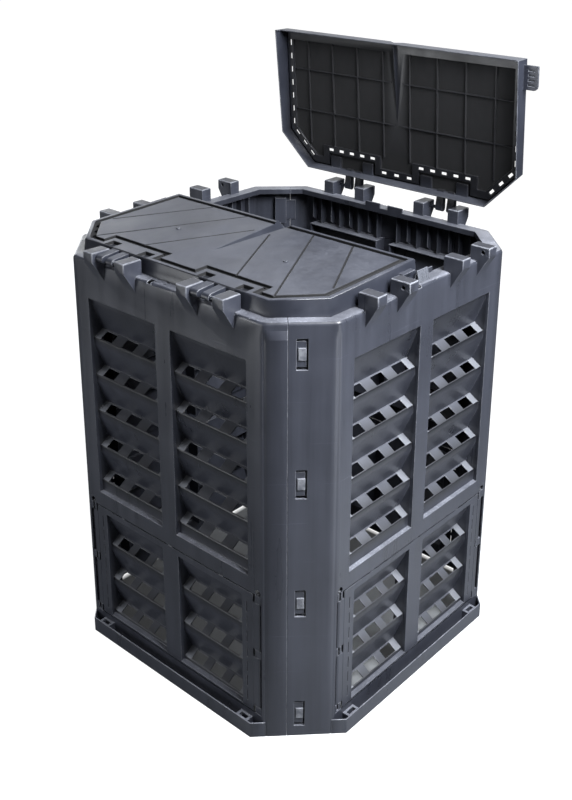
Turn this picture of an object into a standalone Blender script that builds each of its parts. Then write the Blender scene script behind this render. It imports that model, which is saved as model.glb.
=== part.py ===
"""Garden compost bin: four clipped wall panels, four louvred hatches on rods, two hinged lid halves.

Metres, +Z up. The origin is on the ground under the middle of the bin. The wall panels are one
moulding used four times, so a panel, a hatch and a lid are each modelled once, in the place of
the front one, and their copies are turned about the bin's middle.

A panel is described by three values: u runs along the wall, d is the depth behind the wall's
outer face and z is the height. A lid is described from its hinge axis: s runs from the axis
towards the free edge, y along the axis and t upwards.
"""
import math

import bmesh
import bpy
from mathutils import Matrix, Vector

# Fits and overruns
FIT_GAP = 0.0003
OVERRUN = 0.010
WELD_DEPTH = 0.0015

# Body. Lengths along a wall follow its width through SPAN, and heights are given from BODY_TOP
BODY_WIDTH = 0.800
BODY_TOP = 0.992
HALF = BODY_WIDTH / 2
SPAN = BODY_WIDTH / 0.800
CORNER_LEG = 0.105 * SPAN
WALL = 0.003
BEND_RADIUS = 0.018
BEND_STEPS = 3
SHOULDER_RADIUS = 0.008
SHOULDER_STEPS = 2
RIM_REACH = 0.038
RIM_LIP = 0.014

# Corner clips
SEAM_LONG_SIDE = 0.1005 * SPAN
CLIP_COUNT = 4
CLIP_FIRST = 0.060
CLIP_TOP_CLEAR = 0.068
CLIP_PITCH = (BODY_TOP - CLIP_TOP_CLEAR - CLIP_FIRST) / (CLIP_COUNT - 1)
CLIP_WINDOW_WIDTH = 0.023
CLIP_WINDOW_HEIGHT = 0.066
CLIP_FROM_SEAM = 0.028
CLIP_ARM_HEIGHT = 0.055
CLIP_NOSE_WIDTH = 0.016
CLIP_NOSE_HEIGHT = 0.026
CLIP_ROOT = 0.014

# Foot
FOOT_REACH = 0.023
FOOT_HEIGHT = 0.038
FOOT_FLOOR = 0.004
PEG_U = 0.240 * SPAN
PEG_BOSS_WIDTH = 0.036
PEG_BOSS_HEIGHT = 0.034
PEG_SLOT_WIDTH = 0.022
PEG_SLOT_DEPTH = 0.009

# Hatch
HATCH_HALF = 0.2610 * SPAN
HATCH_SIDE_CLEAR = 0.0245
HATCH_OPENING = HATCH_HALF + HATCH_SIDE_CLEAR
HATCH_OPENING_BOTTOM = 0.0495
HATCH_OPENING_TOP = 0.3610
HATCH_GAP = 0.0018
HATCH_WINDOW_INNER = 0.026
HATCH_WINDOW_WIDTH = 0.202 * SPAN
HATCH_WINDOW_RISE = 0.0055
HATCH_WINDOW_DROP = 0.017
HATCH_WINDOW_BOTTOM = HATCH_OPENING_BOTTOM + HATCH_WINDOW_RISE
HATCH_WINDOW_TOP = HATCH_OPENING_TOP - HATCH_WINDOW_DROP
HATCH_LIP_RISE = 0.010
HATCH_LIP_HEAD = 0.086
HATCH_LIP_COUNT = 3
HATCH_LIP_FIRST = HATCH_WINDOW_BOTTOM + HATCH_LIP_RISE
HATCH_LIP_PITCH = (HATCH_WINDOW_TOP - HATCH_LIP_HEAD - HATCH_LIP_FIRST) / (HATCH_LIP_COUNT - 1)
HATCH_BARREL_RADIUS = 0.006
HATCH_TAB_WIDTH = 0.012
HATCH_TAB_COUNT = 3
HATCH_TAB_PITCH = 0.165 * SPAN

# Louvred windows
WINDOW_INNER = 0.0235
WINDOW_WIDTH = 0.224 * SPAN
WINDOW_RISE = 0.039
WINDOW_BOTTOM = HATCH_OPENING_TOP + WINDOW_RISE
WINDOW_DROP = 0.093
WINDOW_TOP = BODY_TOP - WINDOW_DROP
LIP_RISE = 0.030
LIP_HEAD = 0.099
LIP_COUNT = 5
LIP_FIRST = WINDOW_BOTTOM + LIP_RISE
LIP_PITCH = (WINDOW_TOP - LIP_HEAD - LIP_FIRST) / (LIP_COUNT - 1)
LIP_RECESS = 0.010
LOUVRE_DEPTH = 0.035
LOUVRE_WALL = 0.0025
LEDGE_RISE = 0.016
BAND_HEIGHT = 0.017
SILL_RISE = 0.002
VENTS_PER_ROW = 3
VENT_WIDTH = 0.0375 * SPAN
VENT_END_TAB = 0.0210 * SPAN
VENT_MARGIN = 0.0035
VENT_TOOL_HEIGHT = 0.007

# Hatch rods and the lugs that carry them
ROD_FROM_HATCH = 0.0145
ROD_U = HATCH_HALF + ROD_FROM_HATCH
ROD_DEPTH = 0.006
ROD_RADIUS = 0.003
ROD_BOTTOM = 0.0515
ROD_HEAD_RADIUS = 0.0042
ROD_HEAD_HEIGHT = 0.0047
ROD_SIDES = 8
LUG_REACH = 0.019
LUG_HEIGHT = 0.020
LUG_THICKNESS = 0.012
LUG_MIDDLE_RISE = 0.00475
LUG_MIDDLE = (HATCH_OPENING_BOTTOM + HATCH_OPENING_TOP) / 2 + LUG_MIDDLE_RISE
ACCESS_RADIUS = 0.008
ACCESS_RISE = 0.0065

# Lid hinge blocks on the rim
BLOCK_WIDTH = 0.031
GRIP_BACK = 0.078 * SPAN
GRIP_GAP = 0.0025
BLOCK_PITCH = 0.105 * SPAN
BLOCK_NEAR = GRIP_BACK + GRIP_GAP + BLOCK_WIDTH / 2
BLOCK_FAR = BLOCK_NEAR + BLOCK_PITCH
BLOCK_OUT = 0.030
BLOCK_IN = 0.020
BLOCK_TOP = BODY_TOP + 0.0345
BLOCK_LOW = BODY_TOP + 0.0126
GUSSET_TIP = BODY_TOP - 0.037
SOCKET_DEPTH = 0.010

# Raised middle of the rim, its gap and its edge notch
RAISE_HALF = 0.060
RAISE_HEIGHT = 0.012
RAISE_WALL = 0.0035
RAISE_GAP_HALF = 0.012
NOTCH_FROM = -0.044
NOTCH_WIDTH = 0.018
NOTCH_DEPTH = 0.015
NOTCH_DROP = 0.006

# Lid catches, clipped on the two rims where the lid halves meet
CATCH_FROM = -0.021
CATCH_LENGTH = 0.038
CATCH_DEPTH = 0.019
CATCH_HALF = 0.007
CATCH_RIDGE_HALF = 0.001
CATCH_HEIGHT = 0.026
CATCH_WALL = 0.0022
CATCH_LEG_WIDTH = 0.010
CATCH_LEG_DROP = 0.009

# Stiffening ribs inside the top of the wall
RIB_COUNT = 8
RIB_PITCH = 0.064 * SPAN
RIB_WALL = 0.002
RIB_DEPTH = 0.022
RIB_BOTTOM = BODY_TOP - 0.090

# Lid
HINGE_OUT = 0.013
HINGE_X = HALF + HINGE_OUT
HINGE_RISE = 0.0215
HINGE_Z = BODY_TOP + HINGE_RISE
LID_TOP = 0.0135
LID_WALL = 0.003
LID_HINGE_EDGE = 0.037
LID_MIDDLE_GAP = 0.0065
LID_END_GAP = 0.002
LID_HALF = HALF - CATCH_DEPTH - CATCH_HALF - LID_END_GAP
LID_LEG_CLEAR = 0.017
LID_LEG = CORNER_LEG - LID_LEG_CLEAR
LID_DRAFT = 0.004
LID_BEVEL = 0.002
LID_REST_GAP = 0.0003
LID_RISE = 0.0125
LID_RISE_LEVEL = -0.0065
FREE_EDGE_DEPTH = 0.021
LID_OPEN_DEG = 84.0

# Lid hinge arms, each between the two blocks of a pair
PAIR_CENTRE = (BLOCK_NEAR + BLOCK_FAR) / 2
PAIR_CLEAR = BLOCK_PITCH - BLOCK_WIDTH
ARM_CLEAR = 0.020
ARM_WIDTH = PAIR_CLEAR - ARM_CLEAR
ARM_OFFSET = 0.0085
ARM_WALL = 0.010
FINGER_GAP = 0.0125
KNUCKLE_RADIUS = 0.0085
KNUCKLE_STEPS = 4
PEG_RADIUS = 0.0045
PEG_ENTRY = 0.008

# Pockets beside each hinge arm
POCKET_SIZE = 0.034
POCKET_DEPTH = 0.008
POCKET_WALL = 0.002

# Groove round the lid, and its drain slots
GROOVE_WIDTH = 0.013
GROOVE_DEPTH = 0.006
GROOVE_INSET = 0.0205
GROOVE_STEP = 0.033
GROOVE_STEP_CLEAR = 0.0165
GROOVE_STEP_HALF = ARM_OFFSET + ARM_WIDTH / 2 + POCKET_SIZE + POCKET_WALL + GROOVE_STEP_CLEAR
SLOT_PITCH = 0.031
SLOT_LENGTH = 0.015
SLOT_WIDTH = 0.007

# Lid valley, ribs and grip
VALLEY_SHORT = 0.131
VALLEY_LENGTH = HINGE_X - LID_HINGE_EDGE - VALLEY_SHORT
VALLEY_HALF = 0.022
VALLEY_DEPTH = 0.016
VALLEY_SIDES = 4
LID_RIB_WALL = 0.0025
LID_RIB_DEPTH = 0.005
LID_RIB_END = 0.0815
LID_RIB_PAIRS = 4
LID_RIB_PITCH = (LID_HALF - LID_RIB_END) / (LID_RIB_PAIRS - 0.5)
GRIP_FROM = HINGE_X - GRIP_BACK
GRIP_LENGTH = 0.057 * SPAN
GRIP_REACH = 0.036
GRIP_WALL = 0.004
GRIP_TOP = -0.002
GRIP_ROUND = 0.012
GRIP_ROUND_STEPS = 4
GRIP_SLOTS = 4
GRIP_SLOT_WIDTH = 0.004
GRIP_SLOT_LENGTH = 0.016
GRIP_SLOT_DEPTH = 0.0018
STOP_BACK = 0.068 * SPAN
STOP_FROM = HINGE_X - STOP_BACK
STOP_LENGTH = 0.040 * SPAN
STOP_REACH = 0.010

CHAMFER_SUM = BODY_WIDTH - CORNER_LEG
CHAMFER_LENGTH = CORNER_LEG * math.sqrt(2)
SEAM_SHORT_SIDE = CHAMFER_LENGTH - SEAM_LONG_SIDE - FIT_GAP
TURNS = {"front": 0, "right": 1, "back": 2, "left": 3}


def clear_scene():
    """Remove every object that is in the open scene."""
    for item in list(bpy.data.objects):
        bpy.data.objects.remove(item, do_unlink=True)


def make_collection(name):
    """Return a new collection linked to the scene."""
    group = bpy.data.collections.new(name)
    bpy.context.scene.collection.children.link(group)
    return group


def make_plastic(name, colour, roughness):
    """Return a Principled material for one moulding."""
    material = bpy.data.materials.new(name)
    material.use_nodes = True
    shader = material.node_tree.nodes["Principled BSDF"]
    shader.inputs["Base Color"].default_value = (*colour, 1.0)
    shader.inputs["Roughness"].default_value = roughness
    shader.inputs["Metallic"].default_value = 0.0
    return material


# Small solids, all made from primitives or extruded outlines

def bore_radius(radius):
    """Return the corner radius of a faceted bore whose flats clear a rod of this radius."""
    return (radius + FIT_GAP) / math.cos(math.pi / ROD_SIDES)


def to_object(bm, name):
    """Turn a bmesh into an object in the tools collection."""
    mesh = bpy.data.meshes.new(name)
    bm.to_mesh(mesh)
    bm.free()
    item = bpy.data.objects.new(name, mesh)
    item.hide_render = True
    item.display_type = "WIRE"
    TOOLS.objects.link(item)
    return item


def add_box(bm, low, high, turn=None):
    """Add a box between two corners, turned about its own middle if asked."""
    low, high = Vector(low), Vector(high)
    size = high - low
    matrix = Matrix.Translation((low + high) / 2)
    if turn is not None:
        matrix = matrix @ turn
    matrix = matrix @ Matrix.Diagonal((size.x, size.y, size.z, 1.0))
    bmesh.ops.create_cube(bm, size=1.0, matrix=matrix)


def boxes(name, corners):
    """Return one object holding a box for each pair of corners."""
    bm = bmesh.new()
    for low, high in corners:
        add_box(bm, low, high)
    return to_object(bm, name)


def add_rod(bm, centre, radius, length, axis="Z", sides=ROD_SIDES, tip=None):
    """Add a cylinder, or a cone when a tip radius is given, along one axis."""
    turn = {"X": Matrix.Rotation(math.pi / 2, 4, "Y"), "Y": Matrix.Rotation(-math.pi / 2, 4, "X"),
            "Z": Matrix.Identity(4)}[axis]
    bmesh.ops.create_cone(bm, cap_ends=True, segments=sides, radius1=radius,
                          radius2=radius if tip is None else tip, depth=length,
                          matrix=Matrix.Translation(centre) @ turn)


def add_prism(bm, outline, low, high, place):
    """Extrude a flat outline from low to high; place(a, b, c) gives the 3D point."""
    face = bm.faces.new([bm.verts.new(place(a, b, low)) for a, b in outline])
    grown = bmesh.ops.extrude_face_region(bm, geom=[face])
    shift = Vector(place(0, 0, high)) - Vector(place(0, 0, low))
    bmesh.ops.translate(bm, vec=shift, verts=[v for v in grown["geom"] if isinstance(v, bmesh.types.BMVert)])
    bmesh.ops.recalc_face_normals(bm, faces=bm.faces)


def prisms(name, outline, spans, place):
    """Return one object holding the same outline extruded over each span."""
    bm = bmesh.new()
    for low, high in spans:
        add_prism(bm, outline, low, high, place)
    return to_object(bm, name)


def combine(base, tool, operation):
    """Join, cut or keep one solid with another, and drop the tool."""
    step = base.modifiers.new(operation, "BOOLEAN")
    step.operation = operation
    step.solver = "EXACT"
    step.object = tool
    bake(base)
    bpy.data.objects.remove(tool, do_unlink=True)
    return base


def join(base, tool):
    return combine(base, tool, "UNION")


def cut(base, tool):
    return combine(base, tool, "DIFFERENCE")


def bake(item):
    """Replace an object's mesh by the mesh that its modifiers give."""
    bpy.context.view_layer.update()
    graph = bpy.context.evaluated_depsgraph_get()
    mesh = bpy.data.meshes.new_from_object(item.evaluated_get(graph))
    item.modifiers.clear()
    item.data = mesh
    return item


def thicken(sheet, thickness, offset=-1.0):
    """Give an open sheet its wall, behind its front side."""
    step = sheet.modifiers.new("wall", "SOLIDIFY")
    step.thickness = thickness
    step.offset = offset
    step.use_even_offset = True
    return bake(sheet)


def wall_point(u, d, z):
    """Place a panel point: u along the front wall, d behind its outer face."""
    return (u, d - HALF, z)


def profile_place(a, b, c):
    """Place an outline drawn in depth and height, and extruded along the wall."""
    return wall_point(c, a, b)


def plan_place(a, b, c):
    """Place an outline drawn in plan, and extruded upwards."""
    return (a, b, c)


def lid_place(a, b, c):
    """Place a lid outline drawn in s and y, and extruded along t."""
    return (a, b, c)


def arm_place(a, b, c):
    """Place an arm outline drawn in s and t, and extruded along y."""
    return (a, c, b)


# Wall panel

def panel_path(d):
    """Return the panel's plan line at depth d, from its left seam to its right seam."""
    half = HALF - d
    corner = CHAMFER_SUM - d * math.sqrt(2) - half
    radius = max(BEND_RADIUS - d, FIT_GAP)
    tangent = radius * math.tan(math.pi / 8)
    slant = math.sqrt(0.5)
    right = []
    for step in range(BEND_STEPS + 1):
        angle = -math.pi / 2 + step / BEND_STEPS * math.pi / 4
        right.append((corner - tangent + radius * math.cos(angle), radius - half + radius * math.sin(angle)))
    left = [(-x, y) for x, y in reversed(right)]
    outer = CHAMFER_SUM - HALF
    long_end = (-outer - (SEAM_LONG_SIDE - d) * slant, -HALF + (SEAM_LONG_SIDE + d) * slant)
    short_end = (outer + (SEAM_SHORT_SIDE - d) * slant, -HALF + (SEAM_SHORT_SIDE + d) * slant)
    return [long_end, *left, *right, short_end]


def panel_shell():
    """Return the panel's skin: wall, rounded shoulder, flat rim and its inner lip."""
    rows = [(0.0, 0.0)]
    for step in range(SHOULDER_STEPS + 1):
        angle = step / SHOULDER_STEPS * math.pi / 2
        rows.append((SHOULDER_RADIUS * (1 - math.cos(angle)), BODY_TOP - SHOULDER_RADIUS * (1 - math.sin(angle))))
    rows.append((RIM_REACH, BODY_TOP))
    rows.append((RIM_REACH, BODY_TOP - RIM_LIP))
    bm = bmesh.new()
    path = panel_path(0.0)
    verts = [bm.verts.new((x, y, 0.0)) for x, y in path]
    edges = [bm.edges.new(pair) for pair in zip(verts, verts[1:])]
    for d, z in rows[1:]:
        grown = bmesh.ops.extrude_edge_only(bm, edges=edges)["geom"]
        edges = [e for e in grown if isinstance(e, bmesh.types.BMEdge)]
        fresh = [v for v in grown if isinstance(v, bmesh.types.BMVert)]
        verts = match_row(verts, fresh)
        for vert, (x, y) in zip(verts, panel_path(d)):
            vert.co = (x, y, z)
    bmesh.ops.recalc_face_normals(bm, faces=bm.faces)
    sample = max(bm.faces, key=lambda f: f.calc_area())
    if sample.normal.y > 0:
        bmesh.ops.reverse_faces(bm, faces=bm.faces)
    return thicken(to_object(bm, "panel"), WALL)


def match_row(verts, fresh):
    """Put freshly extruded vertices in the order of the row they came from."""
    ordered = []
    for vert in verts:
        linked = [edge.other_vert(vert) for edge in vert.link_edges]
        ordered.append(next(other for other in linked if other in fresh))
    return ordered


def louvre_profile(top, bottom, lips):
    """Return the louvre sheet's section, from the window's top edge to its bottom edge."""
    points = [(0.0, top), (LIP_RECESS, top)]
    start = top
    for lip in reversed(lips):
        points.append((LIP_RECESS, start - BAND_HEIGHT))
        points.append((LOUVRE_DEPTH, lip + LEDGE_RISE))
        points.append((LIP_RECESS, lip))
        start = lip
    if start - bottom > SILL_RISE:
        points.append((LIP_RECESS, bottom + SILL_RISE))
    points.append((0.0, bottom))
    return points


def louvre_sheet(side, inner, width, top, bottom, lips):
    """Return one window's louvres, with the vents cut through each sloping ledge."""
    low, high = sorted((side * (inner - WELD_DEPTH), side * (inner + width + WELD_DEPTH)))
    bm = bmesh.new()
    verts = [bm.verts.new(wall_point(low, d, z)) for d, z in louvre_profile(top, bottom, lips)]
    edges = [bm.edges.new(pair) for pair in zip(verts, verts[1:])]
    grown = bmesh.ops.extrude_edge_only(bm, edges=edges)["geom"]
    bmesh.ops.translate(bm, vec=(high - low, 0, 0), verts=[v for v in grown if isinstance(v, bmesh.types.BMVert)])
    bmesh.ops.recalc_face_normals(bm, faces=bm.faces)
    if sum(face.normal.y * face.calc_area() for face in bm.faces) > 0:
        bmesh.ops.reverse_faces(bm, faces=bm.faces)
    bmesh.ops.translate(bm, vec=(0, FIT_GAP, 0), verts=bm.verts)
    sheet = thicken(to_object(bm, "louvres"), LOUVRE_WALL)
    return cut(sheet, vent_tools(min(abs(low), abs(high)) + WELD_DEPTH, side, width, lips))


def vent_tools(inner, side, width, lips):
    """Return the tilted boxes that open the vents in one window's ledges."""
    run = LOUVRE_DEPTH - LIP_RECESS
    length = math.hypot(run, LEDGE_RISE) - 2 * VENT_MARGIN
    tilt = Matrix.Rotation(math.atan2(LEDGE_RISE, run), 4, "X")
    tab = (width - 2 * VENT_END_TAB - VENTS_PER_ROW * VENT_WIDTH) / (VENTS_PER_ROW - 1)
    bm = bmesh.new()
    for lip in lips:
        centre_d = (LIP_RECESS + LOUVRE_DEPTH) / 2
        centre_z = lip + LEDGE_RISE / 2
        for index in range(VENTS_PER_ROW):
            middle = side * (inner + VENT_END_TAB + VENT_WIDTH / 2 + index * (VENT_WIDTH + tab))
            half = Vector((VENT_WIDTH, length, VENT_TOOL_HEIGHT)) / 2
            centre = Vector(wall_point(middle, centre_d, centre_z))
            add_box(bm, centre - half, centre + half, tilt)
    return to_object(bm, "vents")


def window_frame(inner, width, top, bottom):
    """Return the cheeks beside two louvred windows."""
    back = LOUVRE_DEPTH + LOUVRE_WALL
    corners = []
    for side in (-1, 1):
        for near, far in ((inner - WALL, inner), (inner + width, inner + width + WALL)):
            low, high = sorted((side * near, side * far))
            corners.append((wall_point(low, FIT_GAP, bottom - WELD_DEPTH), wall_point(high, back, top + WELD_DEPTH)))
    return boxes("cheeks", corners)


def window_tops(inner, width, top):
    """Return the shelf that closes each window's box from above."""
    back = LOUVRE_DEPTH + LOUVRE_WALL
    corners = []
    for side in (-1, 1):
        low, high = sorted((side * (inner - WALL / 2), side * (inner + width + WALL / 2)))
        corners.append((wall_point(low, WELD_DEPTH, top - WELD_DEPTH), wall_point(high, back, top + WELD_DEPTH)))
    return boxes("shelves", corners)


def add_windows(base, inner, width, top, bottom, lips):
    """Open two windows in a plate and fit their louvres."""
    holes = []
    for side in (-1, 1):
        low, high = sorted((side * inner, side * (inner + width)))
        holes.append((wall_point(low, -OVERRUN, bottom), wall_point(high, OVERRUN, top)))
    cut(base, boxes("window holes", holes))
    join(base, window_frame(inner, width, top, bottom))
    for side in (-1, 1):
        join(base, louvre_sheet(side, inner, width, top, bottom, lips))


def foot_outline(low, high, inset):
    """Return the foot's plan between two reaches, with its ends on the corner planes."""
    ends = [CHAMFER_SUM - HALF - reach - inset * math.sqrt(2) for reach in (low, high)]
    return [(-ends[0], -HALF - low), (-ends[1], -HALF - high), (ends[1], -HALF - high), (ends[0], -HALF - low)]


def add_foot(panel):
    """Add the gutter-shaped foot along the wall's base, with its two ground peg bosses."""
    foot = prisms("foot", foot_outline(-WELD_DEPTH, FOOT_REACH, 0), [(0, FOOT_HEIGHT)], plan_place)
    trough = foot_outline(-WELD_DEPTH / 2, FOOT_REACH - WALL, WALL)
    cut(foot, prisms("trough", trough, [(FOOT_FLOOR, FOOT_HEIGHT + OVERRUN)], plan_place))
    join(panel, foot)
    bosses = []
    slots = []
    for side in (-1, 1):
        middle = side * PEG_U
        centre = -(FOOT_REACH - WALL) / 2
        bosses.append((wall_point(middle - PEG_BOSS_WIDTH / 2, -FOOT_REACH + WALL / 2, WELD_DEPTH),
                       wall_point(middle + PEG_BOSS_WIDTH / 2, WALL / 2, PEG_BOSS_HEIGHT)))
        slots.append((wall_point(middle - PEG_SLOT_WIDTH / 2, centre - PEG_SLOT_DEPTH / 2, -OVERRUN),
                      wall_point(middle + PEG_SLOT_WIDTH / 2, centre + PEG_SLOT_DEPTH / 2,
                                 PEG_BOSS_HEIGHT + OVERRUN)))
    join(panel, boxes("peg bosses", bosses))
    cut(panel, boxes("peg slots", slots))


def lug_spans():
    """Return the heights of the bottom, middle and top rod lugs."""
    bottom = HATCH_OPENING_BOTTOM - WELD_DEPTH
    top = HATCH_OPENING_TOP - FIT_GAP
    return [(bottom, bottom + LUG_HEIGHT), (LUG_MIDDLE - LUG_HEIGHT / 2, LUG_MIDDLE + LUG_HEIGHT / 2),
            (top - LUG_HEIGHT, top)]


def add_hatch_opening(panel):
    """Open the doorway, and add the lugs that hold the two rods."""
    doorway = [(wall_point(-HATCH_OPENING, -OVERRUN, HATCH_OPENING_BOTTOM),
                wall_point(HATCH_OPENING, OVERRUN, HATCH_OPENING_TOP))]
    cut(panel, boxes("doorway", doorway))
    head_z = HATCH_OPENING_TOP + ACCESS_RISE
    bm = bmesh.new()
    for side in (-1, 1):
        add_rod(bm, wall_point(side * ROD_U, 0, head_z), ACCESS_RADIUS, OVERRUN, "Y")
    cut(panel, to_object(bm, "access holes"))
    lugs = []
    for side in (-1, 1):
        for low, high in lug_spans():
            near, far = sorted((side * (HATCH_OPENING + WELD_DEPTH - LUG_REACH - WELD_DEPTH),
                                side * (HATCH_OPENING + WELD_DEPTH)))
            lugs.append((wall_point(near, FIT_GAP, low), wall_point(far, LUG_THICKNESS, high)))
    join(panel, boxes("lugs", lugs))
    clear = ROD_RADIUS + FIT_GAP
    bottom = ROD_BOTTOM - FIT_GAP
    bore = bore_radius(ROD_RADIUS)
    bm = bmesh.new()
    for side in (-1, 1):
        add_rod(bm, wall_point(side * ROD_U, ROD_DEPTH, (bottom + head_z) / 2), bore, head_z - bottom)
    cut(panel, to_object(bm, "rod bores"))
    snap_mouth = [(wall_point(-ROD_U - clear, -OVERRUN, bottom), wall_point(-ROD_U + clear, ROD_DEPTH, head_z))]
    cut(panel, boxes("snap mouths", snap_mouth))


def block_outline():
    """Return the hinge block's section in depth and height, gusset included."""
    return [(BLOCK_IN, BLOCK_TOP), (-BLOCK_OUT, BLOCK_TOP), (-BLOCK_OUT, BLOCK_LOW), (FIT_GAP, GUSSET_TIP),
            (WALL / 2, GUSSET_TIP), (WALL / 2, BODY_TOP - WALL / 2), (BLOCK_IN, BODY_TOP - WALL / 2)]


def add_hinge_blocks(panel):
    """Add the two pairs of lid hinge blocks, with a peg socket in each facing side."""
    centres = [side * place for side in (-1, 1) for place in (BLOCK_NEAR, BLOCK_FAR)]
    spans = [(u - BLOCK_WIDTH / 2, u + BLOCK_WIDTH / 2) for u in centres]
    join(panel, prisms("blocks", block_outline(), spans, profile_place))
    bm = bmesh.new()
    for side in (-1, 1):
        for block, facing in ((BLOCK_NEAR, 1), (BLOCK_FAR, -1)):
            mouth = block + facing * BLOCK_WIDTH / 2
            middle = side * (mouth - facing * (SOCKET_DEPTH - OVERRUN) / 2)
            add_rod(bm, wall_point(middle, HALF - HINGE_X, HINGE_Z), bore_radius(PEG_RADIUS), SOCKET_DEPTH + OVERRUN, "X")
    cut(panel, to_object(bm, "sockets"))


def add_rim_details(panel):
    """Add the raised rim middle with its gap, the edge notch, the leg slots and the inner ribs."""
    low = RIM_REACH - RAISE_WALL
    raised = []
    for side in (-1, 1):
        near, far = sorted((side * RAISE_GAP_HALF, side * RAISE_HALF))
        raised.append((wall_point(near, low, BODY_TOP - WALL / 2), wall_point(far, RIM_REACH, BODY_TOP + RAISE_HEIGHT)))
    join(panel, boxes("raised rim", raised))
    notch = [(wall_point(NOTCH_FROM, -OVERRUN, BODY_TOP - NOTCH_DROP),
              wall_point(NOTCH_FROM + NOTCH_WIDTH, NOTCH_DEPTH, BODY_TOP + OVERRUN))]
    cut(panel, boxes("rim notch", notch))
    cut(panel, catch_legs(FIT_GAP, BODY_TOP - WALL - OVERRUN, BODY_TOP + OVERRUN))
    ribs = []
    for index in range(RIB_COUNT):
        u = (index - (RIB_COUNT - 1) / 2) * RIB_PITCH
        ribs.append((wall_point(u - RIB_WALL / 2, WALL / 2, RIB_BOTTOM),
                     wall_point(u + RIB_WALL / 2, RIB_DEPTH, BODY_TOP - WALL / 2)))
    join(panel, boxes("ribs", ribs))


def catch_legs(grow, low, high):
    """Return the catch's two legs, or their slots when grown by a gap."""
    middle = CATCH_FROM + CATCH_LENGTH / 2
    half = CATCH_LEG_WIDTH / 2 + grow
    corners = []
    for side in (-1, 1):
        near, far = sorted((side * (CATCH_HALF - CATCH_WALL - grow), side * (CATCH_HALF + grow)))
        corners.append((wall_point(middle - half, CATCH_DEPTH + near, low),
                        wall_point(middle + half, CATCH_DEPTH + far, high)))
    return boxes("catch legs", corners)


def build_catch():
    """Return the tent-shaped lid catch in the front wall's place."""
    foot = BODY_TOP + FIT_GAP
    ridge = BODY_TOP + CATCH_HEIGHT
    profile = [(CATCH_DEPTH - CATCH_HALF, foot), (CATCH_DEPTH - CATCH_RIDGE_HALF, ridge),
               (CATCH_DEPTH + CATCH_RIDGE_HALF, ridge), (CATCH_DEPTH + CATCH_HALF, foot)]
    bm = bmesh.new()
    verts = [bm.verts.new(wall_point(CATCH_FROM, d, z)) for d, z in profile]
    edges = [bm.edges.new(pair) for pair in zip(verts, verts[1:])]
    grown = bmesh.ops.extrude_edge_only(bm, edges=edges)["geom"]
    bmesh.ops.translate(bm, vec=(CATCH_LENGTH, 0, 0), verts=[v for v in grown if isinstance(v, bmesh.types.BMVert)])
    bmesh.ops.recalc_face_normals(bm, faces=bm.faces)
    if max(bm.faces, key=lambda f: abs(f.normal.z)).normal.z < 0:
        bmesh.ops.reverse_faces(bm, faces=bm.faces)
    catch = thicken(to_object(bm, "catch"), CATCH_WALL)
    below = [(wall_point(CATCH_FROM - OVERRUN, 0, foot - OVERRUN), wall_point(CATCH_FROM + CATCH_LENGTH + OVERRUN,
                                                                              RIM_REACH, foot))]
    cut(catch, boxes("foot level", below))
    return join(catch, catch_legs(0.0, BODY_TOP - CATCH_LEG_DROP, foot + WELD_DEPTH))


def chamfer_frame(side):
    """Return the corner's matrix: x along the chamfer from the face, y inwards, z up."""
    corner = Matrix.Translation((side * (CHAMFER_SUM - HALF), -HALF, 0))
    return corner @ Matrix.Rotation(math.radians(45 if side > 0 else 135), 4, "Z")


def chamfer_boxes(name, corners, side):
    """Return boxes given along the chamfer: distance from the face, depth and height."""
    inward = 1 if side > 0 else -1
    bm = bmesh.new()
    for low, high in corners:
        a = (low[0], inward * low[1], low[2])
        b = (high[0], inward * high[1], high[2])
        add_box(bm, tuple(map(min, a, b)), tuple(map(max, a, b)))
    bmesh.ops.transform(bm, matrix=chamfer_frame(side), verts=bm.verts)
    return to_object(bm, name)


def hook_outlines():
    """Return the hook's plan as its arm, which slides behind the long part, and its nose, which points forwards."""
    root = SEAM_SHORT_SIDE - CLIP_ROOT
    edge = SEAM_SHORT_SIDE - WALL / 2
    front = WALL + FIT_GAP
    back = front + WALL
    near = SEAM_SHORT_SIDE + FIT_GAP + CLIP_FROM_SEAM - CLIP_NOSE_WIDTH / 2
    far = near + CLIP_NOSE_WIDTH
    arm = [(root, WALL / 2), (edge, WALL / 2), (edge, front), (far, front), (far, back), (root, back)]
    nose = [(near, FIT_GAP), (far, FIT_GAP), (far, back - WALL / 2), (near, back - WALL / 2)]
    return arm, nose


def add_clips(panel):
    """Cut the clip windows in the long corner part, and add the hooks of the short part."""
    heights = [CLIP_FIRST + CLIP_PITCH * index for index in range(CLIP_COUNT)]
    middle = SEAM_LONG_SIDE - CLIP_FROM_SEAM
    windows = [((middle - CLIP_WINDOW_WIDTH / 2, -OVERRUN, z - CLIP_WINDOW_HEIGHT / 2),
                (middle + CLIP_WINDOW_WIDTH / 2, OVERRUN, z + CLIP_WINDOW_HEIGHT / 2)) for z in heights]
    cut(panel, chamfer_boxes("clip windows", windows, -1))
    for outline, height in zip(hook_outlines(), (CLIP_ARM_HEIGHT, CLIP_NOSE_HEIGHT)):
        hooks = prisms("hooks", outline, [(z - height / 2, z + height / 2) for z in heights], plan_place)
        hooks.data.transform(chamfer_frame(1))
        join(panel, hooks)


def panel_lips():
    return [LIP_FIRST + LIP_PITCH * index for index in range(LIP_COUNT)]


def build_panel():
    """Return the wall panel's mesh in the front wall's place."""
    panel = panel_shell()
    add_hatch_opening(panel)
    add_windows(panel, WINDOW_INNER, WINDOW_WIDTH, WINDOW_TOP, WINDOW_BOTTOM, panel_lips())
    join(panel, window_tops(WINDOW_INNER, WINDOW_WIDTH, WINDOW_TOP))
    add_foot(panel)
    add_hinge_blocks(panel)
    add_rim_details(panel)
    add_clips(panel)
    return panel


# Hatch and rods

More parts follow.
